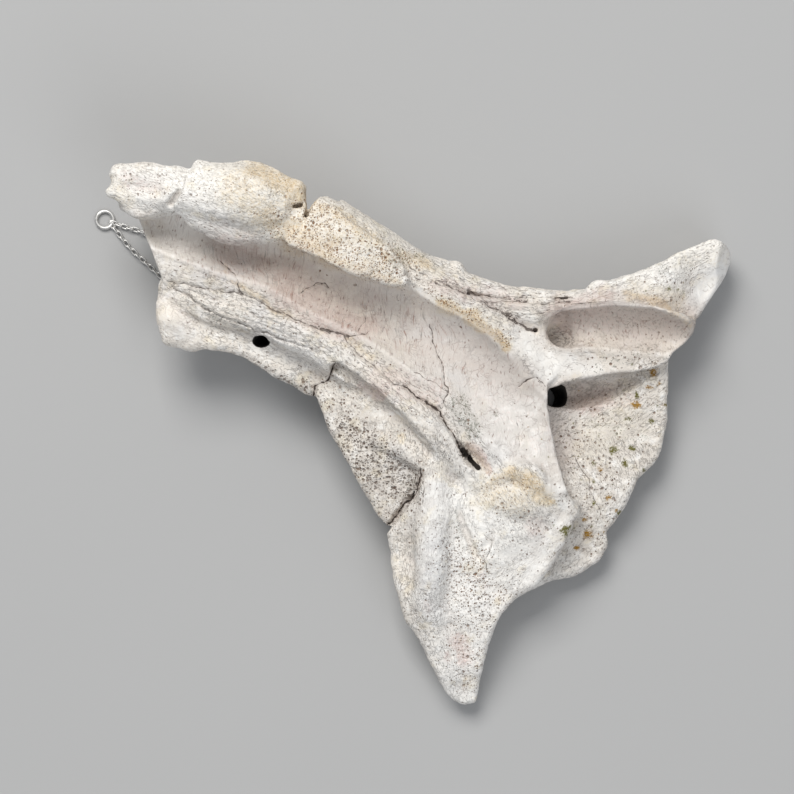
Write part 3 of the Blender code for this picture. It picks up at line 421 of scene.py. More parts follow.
# Between the first value and the second, something fades out or in
TINT_EDGE = (0.3, 1.8)      # radii of a stroke
LICHEN_EDGE = (0.2, 1.9)    # radii of a lichen
LINES_MEET = (1.5, 9)       # how much nearer the nearest fibre line is than the next
CRACK_FACING = (0.0, 0.35)  # how far a face looks up that a crack opens in
WALL_REACH = (1.8, 4.2)     # distance from the canal's or the bowl's wall
UNLIT_REACH = (0.8, 2.6)    # distance from a hole's wall
LICHEN_FACING = (0.15, 0.55)  # how far a face looks up that lichens grow on
HOLLOW_REACH = 7            # half the width of the blocks over which hollows are judged
HOLLOW_DEPTH = 9            # the most that a distance counts there

# The relief
# Depth, size, how much calmer on the smooth walls, seed
LUMPS = ((1.1, 26, 0.6, 1), (0.8, 11, 0.6, 2), (0.45, 5, 0.6, 3), (0.22, 2.6, 0.8, 4))
# Depth, sizes along and across, seed
FURROWS = ((0.45, (22, 3.0, 4.5), 5), (0.25, (14, 1.9, 3.0), 6))
# Depth, size of a cell, radii between which a pit ends, share everywhere and where porous, calmed, seed
PITS = ((0.9, 4.2, 0.16, 0.42, 0, 0.85, 0, 7), (0.4, 2.6, 0.15, 0.45, 0.08, 0.8, 0.9, 8))

RING_PLACE = (-264.5, 186)
RING_RADIUS = 7.3
RING_WIRE = 1.6
RING_STEPS = 64
EYE_PLACE = (-204, 153)
EYE_RADIUS = 5.0
EYE_WIRE = 1.2
EYE_STEPS = 40
HOOP_SIDES = 14
UPPER_STRAND = [
    (-257.8, 183.2, 2.3), (-246, 179.5, 2.3), (-234, 176, 2.3), (-222, 170, 2.5), (-211, 163, 3.8),
    (-205.2, 154.6, 6.4),
]
LOWER_STRAND = [
    (-258.6, 181.6, 2.3), (-243, 162, 2.3), (-226, 146, 2.3), (-212, 134, 2.3), (-204, 137, 2.8),
    (-202.4, 145, 5), (-203.6, 152.2, 6.6),
]
LINK_PITCH = 5.0
LINK_WIDTH = 4.8
LINK_WIRE = 0.75
LINK_BEND = 6               # steps round each end of a link
LINK_ROLLS = (12, -62)      # degrees from flat, in turn
FIRST_LINK = 0.15           # pitches from the strand's end
ROUTE_STEPS = 12
LOOK_AHEAD = 3              # how far each way a link looks for its direction

BONE_NODES = (
    "rim_end", "rim_hump", "porous_block", "canal_floor", "upper_wall", "lower_bar", "lower_flange",
    "porous_plate", "lower_process", "back_plate", "lobe", "upper_process", "back_bar",
)

# Camera: straight down, far off, as the photograph was taken; first the plan's place in its middle
CAMERA_OVER = (-12.75, 33.15)
CAMERA_HEIGHT = 5.0
FRAME_WIDTH = 0.6749        # metres across the frame at the bone's middle height
BONE_MIDDLE = 0.07
SENSOR = 36.0
CAMERA_SEES = 50            # metres

# Stage: each light's place, size, power and colour
LIGHTS = {
    "key": ((-1.4, 3.6, 5.0), 3.2, 366, (1.0, 0.985, 0.96)),
    "fill": ((2.4, -3.2, 4.8), 4.0, 90, (0.95, 0.97, 1.0)),
}
LIT_POINT = (0, 0, 0.05)
SKY = (0.92, 0.95, 1.0, 1)
SKY_STRENGTH = 0.37
FLOOR_SIZE = 14
FLOOR_LEVEL = -0.0003
FLOOR_COLOURS = ((0.41, 0.41, 0.408), (0.435, 0.435, 0.432))
FLOOR_ROUGHNESS = 0.95
FLOOR_GLOSS = 0.1

# What the bone's material reads of each point, and its mottles: size, detail and roughness
KNOWN = (
    "smooth", "porous", "fibrous", "ochre", "pink", "moss", "cool", "orange", "olive", "dark", "beside",
    "hollow", "sheltered", "canal", "bowl", "flowing", "pale", "dull", "shadowed", "speckled",
)
MOTTLES = {"wide": (38, 3, 0.5), "middle": (9, 4, 0.6), "small": (2.6, 3, 0.6), "speck": (1.1, 2, 0.7)}
# Size of a cell, share everywhere and where porous, radius, depth
PORES = ((1.35, 0.05, 0.60, 0.30, 0.3), (2.0, 0.03, 0.80, 0.28, 0.6), (3.2, 0.0, 0.90, 0.30, 1.0))

WARM = (0.800, 0.745, 0.670)
COOL = (0.690, 0.687, 0.690)
WHITE = (0.925, 0.908, 0.872)
OCHRE = (0.560, 0.390, 0.190)
PALE_OCHRE = (0.760, 0.660, 0.470)
PINK = (0.640, 0.470, 0.420)
MOSS = (0.140, 0.145, 0.105)
# brownish painted shade on walls and in hollows, and grime beside the large cracks
PAINTED_SHADE_AND_GRIME = (0.440, 0.365, 0.320)
SHADE = (0.460, 0.415, 0.370)
GREY = (0.300, 0.280, 0.255)
PORE = (0.155, 0.074, 0.036)
OCHRE_PORE = (0.260, 0.110, 0.028)
CRACK = (0.050, 0.034, 0.026)
UNLIT = (0.014, 0.011, 0.009)
VEIN = (0.330, 0.190, 0.150)
ORANGE_LICHEN = (0.310, 0.165, 0.022)
OLIVE_LICHEN = (0.135, 0.125, 0.030)
SILVER = (0.70, 0.69, 0.67)
TARNISHED = 0.55
SILVER_ROUGHNESS = 0.36
BONE_GLOSS = 0.28


# ---------------------------------------------------------------- runs and distances

def smooth_run(points, steps):
    """A Catmull-Rom run through rows of numbers, with `steps` rows to each interval."""
    rows = np.array(points, float)
    padded = np.vstack([2 * rows[0] - rows[1], rows, 2 * rows[-1] - rows[-2]])
    out = []
    for a, b, c, d in zip(padded, padded[1:], padded[2:], padded[3:]):
        for t in np.arange(steps) / steps:
            curve = (3 * b - a - 3 * c + d) * t**3
            out.append(0.5 * (2 * b + (c - a) * t + (2 * a - 5 * b + 4 * c - d) * t**2 + curve))
    out.append(rows[-1])
    return np.array(out)


def step(value, low, high):
    """A smooth step from 0 at `low` to 1 at `high`."""
    t = np.clip((value - low) / (high - low), 0, 1)
    return t * t * (3 - 2 * t)


def soft_min(a, b, blend):
    """The lesser of two distances, with a fillet `blend` wide where they meet."""
    overlap = np.maximum(blend - np.abs(a - b), 0) / blend
    return np.minimum(a, b) - overlap**3 * (blend / 6)


def line_distance(x, y, points):
    """Distance in plan to an open line."""
    best = FAR**2
    for (ax, ay), (bx, by) in zip(points, points[1:]):
        run = max((bx - ax) ** 2 + (by - ay) ** 2, 1e-9)
        along = np.clip(((x - ax) * (bx - ax) + (y - ay) * (by - ay)) / run, 0, 1)
        best = np.minimum(best, (x - ax - along * (bx - ax)) ** 2 + (y - ay - along * (by - ay)) ** 2)
    return np.sqrt(best)


def line_side(x, y, points):
    """Distance in plan to an open line, less than zero on its right."""
    best = np.full(np.broadcast(x, y).shape, FAR)
    for (ax, ay), (bx, by) in zip(points, points[1:]):
        away = line_distance(x, y, [(ax, ay), (bx, by)])
        side = np.where((bx - ax) * (y - ay) > (by - ay) * (x - ax), 1, -1)
        best = np.where(away < np.abs(best), side * away, best)
    return best


def outline_distance(x, y, points):
    """Signed distance in plan to a closed outline, less than zero inside."""
    closed = [*points, points[0]]
    inside = np.zeros(np.broadcast(x, y).shape, bool)
    for (ax, ay), (bx, by) in zip(closed, closed[1:]):
        if ay != by:
            crossing = ax + (y - ay) * ((bx - ax) / (by - ay))
            inside ^= ((ay > y) != (by > y)) & (x < crossing)
    return np.where(inside, -1, 1) * line_distance(x, y, closed)


class Grid:
    """Signed distances in millimetres on an even grid, less than zero inside the bone."""

    def __init__(self, cell):
        self.low = np.array(GRID_LOW, float)
        self.cell = cell
        self.count = np.ceil((np.array(GRID_HIGH) - self.low) / cell).astype(int) + 1
        self.values = np.full(self.count, FAR, np.float32)

    def window(self, low, high):
        """The grid between two corners: its slices, and the coordinates along each axis."""
        first = np.clip(np.floor((low - self.low) / self.cell), 0, self.count).astype(int)
        last = np.clip(np.ceil((high - self.low) / self.cell) + 1, 0, self.count).astype(int)
        axes = [(self.low[i] + self.cell * np.arange(first[i], last[i])).astype(np.float32) for i in range(3)]
        slices = tuple(slice(a, b) for a, b in zip(first, last))
        return slices, np.meshgrid(*axes, indexing="ij", sparse=True)

    def limb(self, stations, reach, lean=(0, 0, 1), steps=3):
        """Distances to a run of elliptical sections, in the window they reach."""
        rows = smooth_run(stations, steps)
        wide = rows[:, 3:].max() + reach
        slices, _ = self.window(rows[:, :3].min(0) - wide, rows[:, :3].max(0) + wide)
        out = np.full([s.stop - s.start for s in slices], FAR, np.float32)
        for a, b in zip(rows, rows[1:]):
            near = max(a[3:].max(), b[3:].max()) + reach
            inner, axes = self.window(np.minimum(a, b)[:3] - near, np.maximum(a, b)[:3] + near)
            if all(s.stop > s.start for s in inner):
                local = tuple(slice(i.start - s.start, i.stop - s.start) for i, s in zip(inner, slices))
                out[local] = np.minimum(out[local], section_distance(a, b, lean, axes))
        return slices, out

    def plate(self, outline, levels, reach, soft=20.0, edge=5.0, taper=26.0, margin=0.4, rounded=True):
        """Distances to a plate, whose underside rises to `margin` of its depth within `taper` of the edge."""
        points = smooth_run([*outline, outline[0]], 4)[:-1] if rounded else np.array(outline, float)
        table = np.array(levels, float)
        low = np.array((*points.min(0), (table[:, 2] - table[:, 3]).min())) - reach
        high = np.array((*points.max(0), table[:, 2].max())) + reach
        slices, (gx, gy, gz) = self.window(low, high)
        x, y = gx[:, :, 0].astype(float), gy[:, :, 0].astype(float)
        plan = outline_distance(x, y, [tuple(p) for p in points])
        total = weights = 0
        for px, py, top, thick in levels:
            weight = ((x - px) ** 2 + (y - py) ** 2 + soft**2) ** -1.5
            total = total + weight[:, :, None] * np.array((top, thick))
            weights = weights + weight
        top, thick = np.moveaxis(total / weights[:, :, None], 2, 0)
        inward = 1 - np.clip(-plan / taper, 0, 1)
        thick = thick * (margin + (1 - margin) * np.sqrt(1 - inward**2))
        plan, top, thick = (v.astype(np.float32)[:, :, None] for v in (plan, top, thick))
        level = np.abs(gz - top + thick / 2) - thick / 2
        radius = np.minimum(edge, thick * 0.49)
        out = np.hypot(np.maximum(plan + radius, 0), np.maximum(level + radius, 0))
        return slices, out + np.minimum(np.maximum(plan, level) + radius, 0) - radius

    def add(self, shape, blend):
        slices, distance = shape
        self.values[slices] = soft_min(self.values[slices], distance, blend)

    def cut(self, shape, blend):
        slices, distance = shape
        self.values[slices] = -soft_min(-self.values[slices], distance, blend)


def section_distance(a, b, lean, axes):
    """Distance to the length of limb between two stations."""
    along = b[:3] - a[:3]
    length = np.linalg.norm(along)
    along /= length
    side = np.cross(np.array(lean, float), along)
    side /= np.linalg.norm(side)
    normal = np.cross(along, side)
    wx, wy, wz = (axes[i] - np.float32(a[i]) for i in range(3))

    def toward(direction):
        d = direction.astype(np.float32)
        return wx * d[0] + wy * d[1] + wz * d[2]

    run = toward(along)
    share = np.clip(run / np.float32(length), 0, 1)
    width = np.float32(a[3]) + share * np.float32(b[3] - a[3])
    height = np.float32(a[4]) + share * np.float32(b[4] - a[4])
    end = np.minimum(width, height)
    u, v, e = toward(side) / width, toward(normal) / height, (run - share * np.float32(length)) / end
    size = np.sqrt(u * u + v * v + e * e)
    slope = np.sqrt((u / width) ** 2 + (v / height) ** 2 + (e / end) ** 2)
    return size * (size - 1) / (slope + 1e-5)


# ---------------------------------------------------------------- the bone's form

def grow_bone(cell):
    """The bone's form on the coarse grid, and distances from the canal's, the bowl's and the holes' walls."""
    grid = Grid(cell)

    def limb(stations, reach, **how):
        return grid.limb(stations, reach + SPARE, **how)

    def add_limb(stations, blend, reach=0):
        grid.add(limb(stations, reach or blend), blend)

    def add_plate(shape, blend, reach=0, **how):
        grid.add(grid.plate(*shape, (reach or blend) + SPARE, **how), blend)

    def cut_away(outline):
        shape = grid.plate(outline, CUT_LEVELS, 2 + SPARE, edge=1, margin=1, rounded=False)
        grid.cut(shape, 2)

    add_limb(KEEL, 6)
    add_limb(UPPER_WALL, 10)
    add_plate(CHUNK, 2, margin=0.8, edge=2.5)
    add_limb(CREST, 3)
    canal = limb(CANAL, 8, lean=CANAL_LEAN)
    grid.cut(canal, 3)
    cut_away(FREE_EDGE)
    cut_away(OPEN_END)
    carved = grid.values[canal[0]].copy()

    add_plate(RIM_END, 5, taper=14, edge=6)
    add_plate(RIM_HUMP, 4, reach=5, taper=20, edge=12)
    add_limb(RIM_RIDGE, 10)
    add_plate(BLOCK, 3, margin=0.8, edge=4)
    add_limb(LOWER_BAR, 7)
    add_plate(SHOULDER, 8, margin=0.8)
    add_plate(FLANGE, 7, edge=7)
    add_plate(POROUS, 4, soft=25, edge=6)
    add_plate(PROCESS, 6, soft=22, edge=6)
    add_limb(LEFT_RIDGE, 12, reach=13)
    add_limb(KNOB, 7, reach=8)
    for run in SWELLINGS.values():
        add_limb(run, SWELLING_BLEND)
    add_plate(BACK, 5, soft=30, edge=6)
    add_limb(KNOB_RIDGE, 9)
    add_limb(BACK_BAR, 6)
    add_plate(WING, 5, soft=16, edge=4)
    add_plate(LOBE, 4, soft=14, edge=3, margin=0.8)

    grid.cut(limb(UNDER_GROOVE, 6), 6)
    for blend, run in HOLLOWS.values():
        grid.cut(limb(run, blend), blend)
    zones = {name: np.full(grid.count, STEEPEST, np.float32) for name in ("canal", "bowl", "holes")}
    heights = grid.low[2] + grid.cell * np.arange(grid.count[2])
    for run, unlit_below in HOLES:
        slices, distance = limb(run, 3, lean=(0, 1, 0))
        grid.cut((slices, distance), 3)
        unlit = np.maximum(np.abs(distance), (heights - unlit_below)[slices[2]])
        zones["holes"][slices] = np.minimum(zones["holes"][slices], unlit)
    cut_away(NOTCH)
    cut_facet(grid)

    bowl = limb(HOLLOWS["bowl"][1], 8)
    canal_wall = (canal[0], np.maximum(np.abs(canal[1]), np.abs(carved)))
    for name, (slices, distance) in (("canal", canal_wall), ("bowl", bowl)):
        zones[name][slices] = np.minimum(np.abs(distance), STEEPEST)
    grid.values = even_slopes(grid.values, cell)
    return grid, zones


def cut_facet(grid):
    """The flat right-hand face of the upper process."""
    a, b, c = (np.array(p, float) for p in WING_CREASE)
    normal = np.cross(b - a, c - a)
    normal /= np.linalg.norm(normal) * (1 if normal[2] > 0 else -1)
    slices, (x, y, z) = grid.window(*(np.array(corner) for corner in FACET_BOX))
    above = (x - a[0]) * normal[0] + (y - a[1]) * normal[1] + (z - a[2]) * normal[2]
    grid.values[slices] = -soft_min(-grid.values[slices], -above.astype(np.float32), FACET_BLEND)


def even_slopes(values, cell):
    """Makes the blended distances grow by a millimetre for each millimetre, near the skin."""
    values = np.clip(values, -STEEPEST, STEEPEST)
    slope = np.sqrt(sum(g * g for g in np.gradient(values, cell)))
    return np.where(np.abs(values) < EVEN_WITHIN, values / np.clip(slope, *SLOPES_EVENED), values)


def twice_as_fine(values):
    """The same values on a grid of half the cell, by cubic interpolation."""
    for axis in range(3):
        rows = np.moveaxis(values, axis, 0)
        padded = np.concatenate([rows[:1], rows, rows[-1:]])
        middle = (9 * (padded[1:-2] + padded[2:-1]) - padded[:-3] - padded[3:]) / 16
        out = np.empty((2 * len(rows) - 1, *rows.shape[1:]), np.float32)
        out[::2] = rows
        out[1::2] = middle
        values = np.moveaxis(out, 0, axis)
    return np.ascontiguousarray(values)


def blurred(values, radius):
    """Each value's mean over a block of cells."""
    for axis in range(3):
        rows = np.moveaxis(values, axis, 0)
        padded = np.concatenate([rows[:1]] * (radius + 1) + [rows] + [rows[-1:]] * radius)
        total = np.cumsum(padded, axis=0, dtype=np.float32)
        values = np.moveaxis((total[2 * radius + 1:] - total[:-2 * radius - 1]) / (2 * radius + 1), 0, axis)
    return values


def corner_weight(share, corner):
    """How much a corner of its cell counts for each point, by the point's place in the cell."""
    weight = np.ones(len(share), np.float32)
    for i, high in enumerate(corner):
        weight *= share[:, i] if high else 1 - share[:, i]
    return weight


def sampled(values, low, cell, points):
    """Values of a grid at points, by linear interpolation."""
    place = (points - np.asarray(low, np.float32)) / np.float32(cell)
    top = np.array(values.shape) - 2
    base = np.clip(place.astype(np.int32), 0, top.astype(np.int32))
    share = np.clip(place - base, 0, 1).astype(np.float32)
    dims = values.ndim
    out = np.zeros(len(points), np.float32)
    for corner in np.ndindex(*(2,) * dims):
        out += corner_weight(share, corner) * values[tuple(base[:, i] + corner[i] for i in range(dims))]
    return out


# ---------------------------------------------------------------- relief

def noise(points, sizes, seed):
    """Smooth noise between -1 and 1, with lumps of the given sizes in millimetres."""
    table = np.random.default_rng(SEED + seed).uniform(-1, 1, (LATTICE,) * 3).astype(np.float32).ravel()
    place = points / np.array(sizes, np.float32) + np.float32(seed * SHIFT_EACH_SEED)
    base = np.floor(place).astype(np.int32)
    share = place - base
    share = share * share * (3 - 2 * share)
    lows = base & (LATTICE - 1)
    highs = (base + 1) & (LATTICE - 1)
    out = np.zeros(len(points), np.float32)
    for corner in np.ndindex(2, 2, 2):
        x, y, z = ((highs if high else lows)[:, i] for i, high in enumerate(corner))
        out += corner_weight(share, corner) * table[(x * LATTICE + y) * LATTICE + z]
    return out


def turned(points, seed):
    """The points turned about a slant axis, so that the noise's lattice doesn't show."""
    turn = Matrix.Rotation(TURN_EACH_SEED * (seed + 1), 3, Vector((1, 2, 3)).normalized())
    return points @ np.array(turn, np.float32).T


def pits(points, size, seed):
    """Distance to the nearest of scattered pit centres, in cells of the given size, and that pit's number."""
    table = np.random.default_rng(SEED + seed).uniform(0, 1, (LATTICE**3, 4)).astype(np.float32)
    place = points / np.float32(size)
    base = np.floor(place).astype(np.int32)
    best = np.full(len(points), 9, np.float32)
    kind = np.zeros(len(points), np.float32)
    for shift in np.ndindex(3, 3, 3):
        cell = base + np.array(shift, np.int32) - 1
        wrapped = cell & (LATTICE - 1)
        row = table[(wrapped[:, 0] * LATTICE + wrapped[:, 1]) * LATTICE + wrapped[:, 2]]
        distance = ((cell + row[:, :3] - place) ** 2).sum(1)
        nearer = distance < best
        best[nearer] = distance[nearer]
        kind[nearer] = row[nearer, 3]
    return np.sqrt(best), kind


class Plan:
    """Maps in plan of the tints, the cracks and the fibres' direction."""

    def __init__(self, cell):
        self.low = GRID_LOW[:2]
        self.cell = cell
        self.x = np.arange(GRID_LOW[0], GRID_HIGH[0] + cell, cell)[:, None]
        self.y = np.arange(GRID_LOW[1], GRID_HIGH[1] + cell, cell)[None, :]
        self.shape = (self.x.size, self.y.size)
        self.maps = {}
        self.paint_tints()
        self.paint_lichens()
        self.draw_cracks()
        self.maps["along"], self.maps["across"], self.maps["flowing"] = self.fibres()
        self.maps = {name: tint.astype(np.float32) for name, tint in self.maps.items()}

    def ragged(self, scales):
        """Places in plan pushed about by noise: pairs of its size and how far it pushes."""
        x, y = (v.ravel() for v in np.broadcast_arrays(self.x, self.y))
        flat = np.stack([x, y, np.zeros(x.size)], 1).astype(np.float32)
        push_x, push_y = (
            sum(far * noise(flat, (size,) * 3, seed + k) for k, (size, far) in enumerate(scales))
            for seed in (11, 21))
        return self.x + push_x.reshape(self.shape), self.y + push_y.reshape(self.shape)

    def paint_tints(self):
        """Each stroke covers part of what the strokes before it left bare."""
        x, y = self.ragged(TINT_RAGS)
        for name, strokes in TINTS.items():
            tint = 0
            for ax, ay, bx, by, radius, strength in strokes:
                away = line_distance(x, y, [(ax, ay), (bx, by)])
                low, high = (radius * edge for edge in TINT_EDGE)
                tint = 1 - (1 - tint) * (1 - strength * (1 - step(away, low, high)))
            self.maps[name] = tint

    def paint_lichens(self):
        x, y = self.ragged(LICHEN_RAGS)
        for name, spots in LICHENS.items():
            tint = 0.0
            for px, py, radius in spots:
                low, high = (radius * edge for edge in LICHEN_EDGE)
                tint = np.maximum(tint, 1 - step(np.hypot(x - px, y - py), low, high))
            self.maps[name] = tint

    def draw_cracks(self):
        """How deep the cracks are, how many half widths off the nearest one is, and how dark that one is."""
        x, y = self.ragged(CRACK_RAGS)
        depth = 0
        beside = np.full(self.shape, CRACK_REACH)
        dark = np.zeros_like(beside)
        for width, deep, tone, line in CRACKS:
            side = line_side(x, y, line) / width
            share = side * width / (width + self.cell * CRACK_SPREAD)
            depth = np.maximum(depth, deep * np.exp(-(share**2)))
            nearer = np.abs(side) < np.abs(beside)
            beside = np.where(nearer, side, beside)
            dark = np.where(nearer, tone, dark)
        self.maps["crack"] = depth
        self.maps["beside"] = beside
        self.maps["dark"] = dark * (1 - step(np.abs(beside), CRACK_REACH / 2, CRACK_REACH))

    def fibres(self):
        """How far along the nearest fibre line each place is, how far off, and 0 where two are as near."""
        best = np.full(self.shape, FAR)
        along, across, rival = best.copy(), best.copy(), best.copy()
        for number, line in enumerate(FIBRE_LINES):
            rows = smooth_run(line, 4)
            start = LINE_APART * number
            own = np.full_like(best, FAR)
            own_along, own_across = own.copy(), own.copy()
            for (ax, ay), (bx, by) in zip(rows, rows[1:]):
                length = math.hypot(bx - ax, by - ay)
                ux, uy = (bx - ax) / length, (by - ay) / length
                run = (self.x - ax) * ux + (self.y - ay) * uy
                side = (self.x - ax) * -uy + (self.y - ay) * ux
                away = np.hypot(side, run - np.clip(run, 0, length))
                nearer = away < own
                own = np.where(nearer, away, own)
                own_along = np.where(nearer, start + run, own_along)
                own_across = np.where(nearer, side, own_across)
                start += length
            nearer = own < best
            rival = np.where(nearer, best, np.minimum(rival, own))
            best = np.where(nearer, own, best)
            along = np.where(nearer, own_along, along)
            across = np.where(nearer, own_across, across)
        return along, across, step(rival - best, *LINES_MEET)

    def at(self, name, points):
        return sampled(self.maps[name], self.low, self.cell, points[:, :2])


def relief(points, up, smooth, plan):
    """How far the skin sinks below the bone's form, in millimetres."""
    porous = plan.at("porous", points) * (1 - smooth)
    fibrous = plan.at("fibrous", points) * plan.at("flowing", points) * (1 - smooth)
    flow = np.stack([plan.at("along", points), plan.at("across", points), points[:, 2]], 1)
    out = 0
    for depth, size, calmed, seed in LUMPS:
        out = out + depth * (1 - calmed * smooth) * noise(turned(points, seed), (size,) * 3, seed)
    for depth, sizes, seed in FURROWS:
        out += depth * fibrous * noise(flow, sizes, seed)
    for depth, size, low, high, everywhere, crowd, calmed, seed in PITS:
        away, kind = pits(turned(points, seed), size, seed)
        chosen = kind < everywhere + porous * crowd
        out += depth * (1 - step(away, low, high)) * chosen * (1 - calmed * smooth)
    out += plan.at("crack", points) * step(up, *CRACK_FACING)
    return out


def near_wall(name, reach, zones, grid, points):
    """How surely each point lies on a zone's wall: 1 within the reach's first distance, 0 past its second."""
    return 1 - step(sampled(zones[name], grid.low, grid.cell, points), *reach)


def walls(zones, grid, points):
    """How surely each point lies on the canal's wall, and on the bowl's."""
    return [near_wall(name, WALL_REACH, zones, grid, points) for name in ("canal", "bowl")]


def shaped_skin(cell):
    """The bone's fine grid, and what the material needs to know of places on it."""
    grid, zones = grow_bone(cell)
    plan = Plan(cell / 2)
    near_skin = np.clip(grid.values, -HOLLOW_DEPTH, HOLLOW_DEPTH)
    hollow = blurred(near_skin, max(1, round(HOLLOW_REACH / cell)))
    fine = twice_as_fine(grid.values)
    half = cell / 2
    near = np.flatnonzero(np.abs(fine) < BAND)
    layer = fine.strides[0] // fine.itemsize
    inner = near[(near > layer) & (near < fine.size - layer - 1)]
    points = np.stack(np.unravel_index(inner, fine.shape), 1).astype(np.float32) * half
    points += grid.low.astype(np.float32)
    flat = fine.ravel()
    up = (flat[inner + 1] - flat[inner - 1]) / (2 * half)
    canal, bowl = walls(zones, grid, points)
    smooth = np.maximum(np.maximum(canal, bowl), plan.at("clean", points))
    flat[inner] += relief(points, up, smooth, plan)
    fine = flat.reshape(fine.shape)
    heights = (grid.low[2] + half * np.arange(fine.shape[2])).astype(np.float32)
    fine = np.maximum(fine, REST_LEVEL - heights)

    def look_up(places):
        out = {name: plan.at(name, places) for name in plan.maps if name != "crack"}
        out["canal"], out["bowl"] = walls(zones, grid, places)
        out["smooth"] = np.maximum(np.maximum(out["canal"], out["bowl"]), out["clean"])
        out["hollow"] = -sampled(hollow, grid.low, cell, places)
        out["shadowed"] = np.maximum(out["shadowed"], near_wall("holes", UNLIT_REACH, zones, grid, places))
        return out

    return fine, grid.low, half, look_up


def net(values, low, cell):
    """Points and quads of the surface where the values cross zero: one point to each cell that it passes."""
    inside = values < 0
    blocks = [inside[x:x + inside.shape[0] - 1, y:y + inside.shape[1] - 1, z:z + inside.shape[2] - 1]
              for x, y, z in np.ndindex(2, 2, 2)]
    total = sum(b.astype(np.uint8) for b in blocks)
    shape = total.shape
    cells = np.flatnonzero((total > 0) & (total < 8))
    base = np.stack(np.unravel_index(cells, shape), 1)
    corners = list(np.ndindex(2, 2, 2))
    at = [values[tuple(base[:, i] + c[i] for i in range(3))] for c in corners]

    places = np.zeros((len(cells), 3), np.float32)
    count = np.zeros(len(cells), np.float32)
    for i, a in enumerate(corners):
        for j, b in enumerate(corners):
            step_to = np.subtract(b, a)
            if i < j and np.abs(step_to).sum() == 1:
                crosses = (at[i] < 0) != (at[j] < 0)
                share = np.where(crosses, at[i] / np.where(crosses, at[i] - at[j], 1), 0)
                places += np.where(crosses, 1, 0)[:, None] * (np.array(a) + share[:, None] * step_to)
                count += crosses
    places /= count[:, None]

    for _ in range(2):
        places = settled(places, corners, at)
    points = (base + places) * np.float32(cell) + low.astype(np.float32)

    quads = []
    for axis in range(3):
        other, last = [i for i in range(3) if i != axis]
        start = np.moveaxis(inside, axis, 0)
        crossing = start[1:] != start[:-1]
        edges = np.stack(np.nonzero(crossing), 1)
        edges = edges[(edges[:, 1:] > 0).all(1) & (edges[:, 1] < crossing.shape[1] - 1)
                      & (edges[:, 2] < crossing.shape[2] - 1)]
        leaving = start[:-1][tuple(edges.T)]
        corner_ids = []
        for a, b in ((1, 1), (0, 1), (0, 0), (1, 0)):
            cell_at = np.zeros_like(edges)
            cell_at[:, axis] = edges[:, 0]
            cell_at[:, other] = edges[:, 1] - a
            cell_at[:, last] = edges[:, 2] - b
            corner_ids.append(np.searchsorted(cells, np.ravel_multi_index(tuple(cell_at.T), shape)))
        ids = np.stack(corner_ids, 1)
        flip = leaving if axis == 1 else ~leaving
        ids[flip] = ids[flip][:, ::-1]
        quads.append(ids)
    return points, np.concatenate(quads)


def settled(places, corners, at):
    """Moves points within their cells onto the zero surface of the corners' values."""
    value = np.zeros(len(places), np.float32)
    slope = np.zeros_like(places)
    for corner, known in zip(corners, at):
        parts = [places[:, i] if high else 1 - places[:, i] for i, high in enumerate(corner)]
        signs = [1 if high else -1 for high in corner]
        value += parts[0] * parts[1] * parts[2] * known
        slope[:, 0] += signs[0] * parts[1] * parts[2] * known
        slope[:, 1] += signs[1] * parts[0] * parts[2] * known
        slope[:, 2] += signs[2] * parts[0] * parts[1] * known
    steep = np.maximum((slope**2).sum(1), 1e-6)
    return np.clip(places - slope * (value / steep)[:, None], 0, 1)


def make_bone_mesh():
    """The bone's skin, as one mesh object in the frame, with what its material reads at each point."""
    values, low, cell, look_up = shaped_skin(CELL)
    points, quads = net(values, low, cell)
    mesh = bpy.data.meshes.new("bone")
    mesh.vertices.add(len(points))
    set_down = (points - np.array((*PLAN_CENTRE, REST_LEVEL), np.float32)) * np.float32(MM)
    mesh.vertices.foreach_set("co", set_down.ravel())
    mesh.loops.add(quads.size)
    mesh.loops.foreach_set("vertex_index", quads.astype(np.int32).ravel())
    mesh.polygons.add(len(quads))
    mesh.polygons.foreach_set("loop_start", np.arange(0, quads.size, 4, dtype=np.int32))
    mesh.update(calc_edges=True)
    mesh.shade_smooth()
    known = look_up(points)
    for name, tint in known.items():
        if name not in ("along", "across"):
            mesh.attributes.new(name, "FLOAT", "POINT").data.foreach_set("value", tint.astype(np.float32))
    flow = np.stack([known["along"], known["across"], points[:, 2]], 1).astype(np.float32)
    mesh.attributes.new("flow", "FLOAT_VECTOR", "POINT").data.foreach_set("vector", flow.ravel())
    made = bpy.data.objects.new("bone", mesh)
    bpy.context.scene.collection.objects.link(made)
    return made


# ---------------------------------------------------------------- materials

class Value:
    """What a node puts out; sums and products of numbers make the nodes for them."""

    def __init__(self, nodes, socket):
        self.nodes = nodes
        self.socket = socket

    def __add__(self, other):
        return self.nodes.math("ADD", self, other)

    def __sub__(self, other):
        return self.nodes.math("SUBTRACT", self, other)

    def __rsub__(self, other):
        return self.nodes.math("SUBTRACT", other, self)

    def __mul__(self, other):
        return self.nodes.math("MULTIPLY", self, other)

    def __abs__(self):
        return self.nodes.math("ABSOLUTE", self)

    __radd__ = __add__
    __rmul__ = __mul__

    def other(self, output):
        """Another output of the same node."""
        return Value(self.nodes, self.socket.node.outputs[output])

    def step(self, low, high):
        """A smooth step from 0 at `low` to 1 at `high`."""
        inputs = {"Value": self, "From Min": low, "From Max": high}
        return self.nodes.node("ShaderNodeMapRange", "Result", inputs, interpolation_type="SMOOTHSTEP")


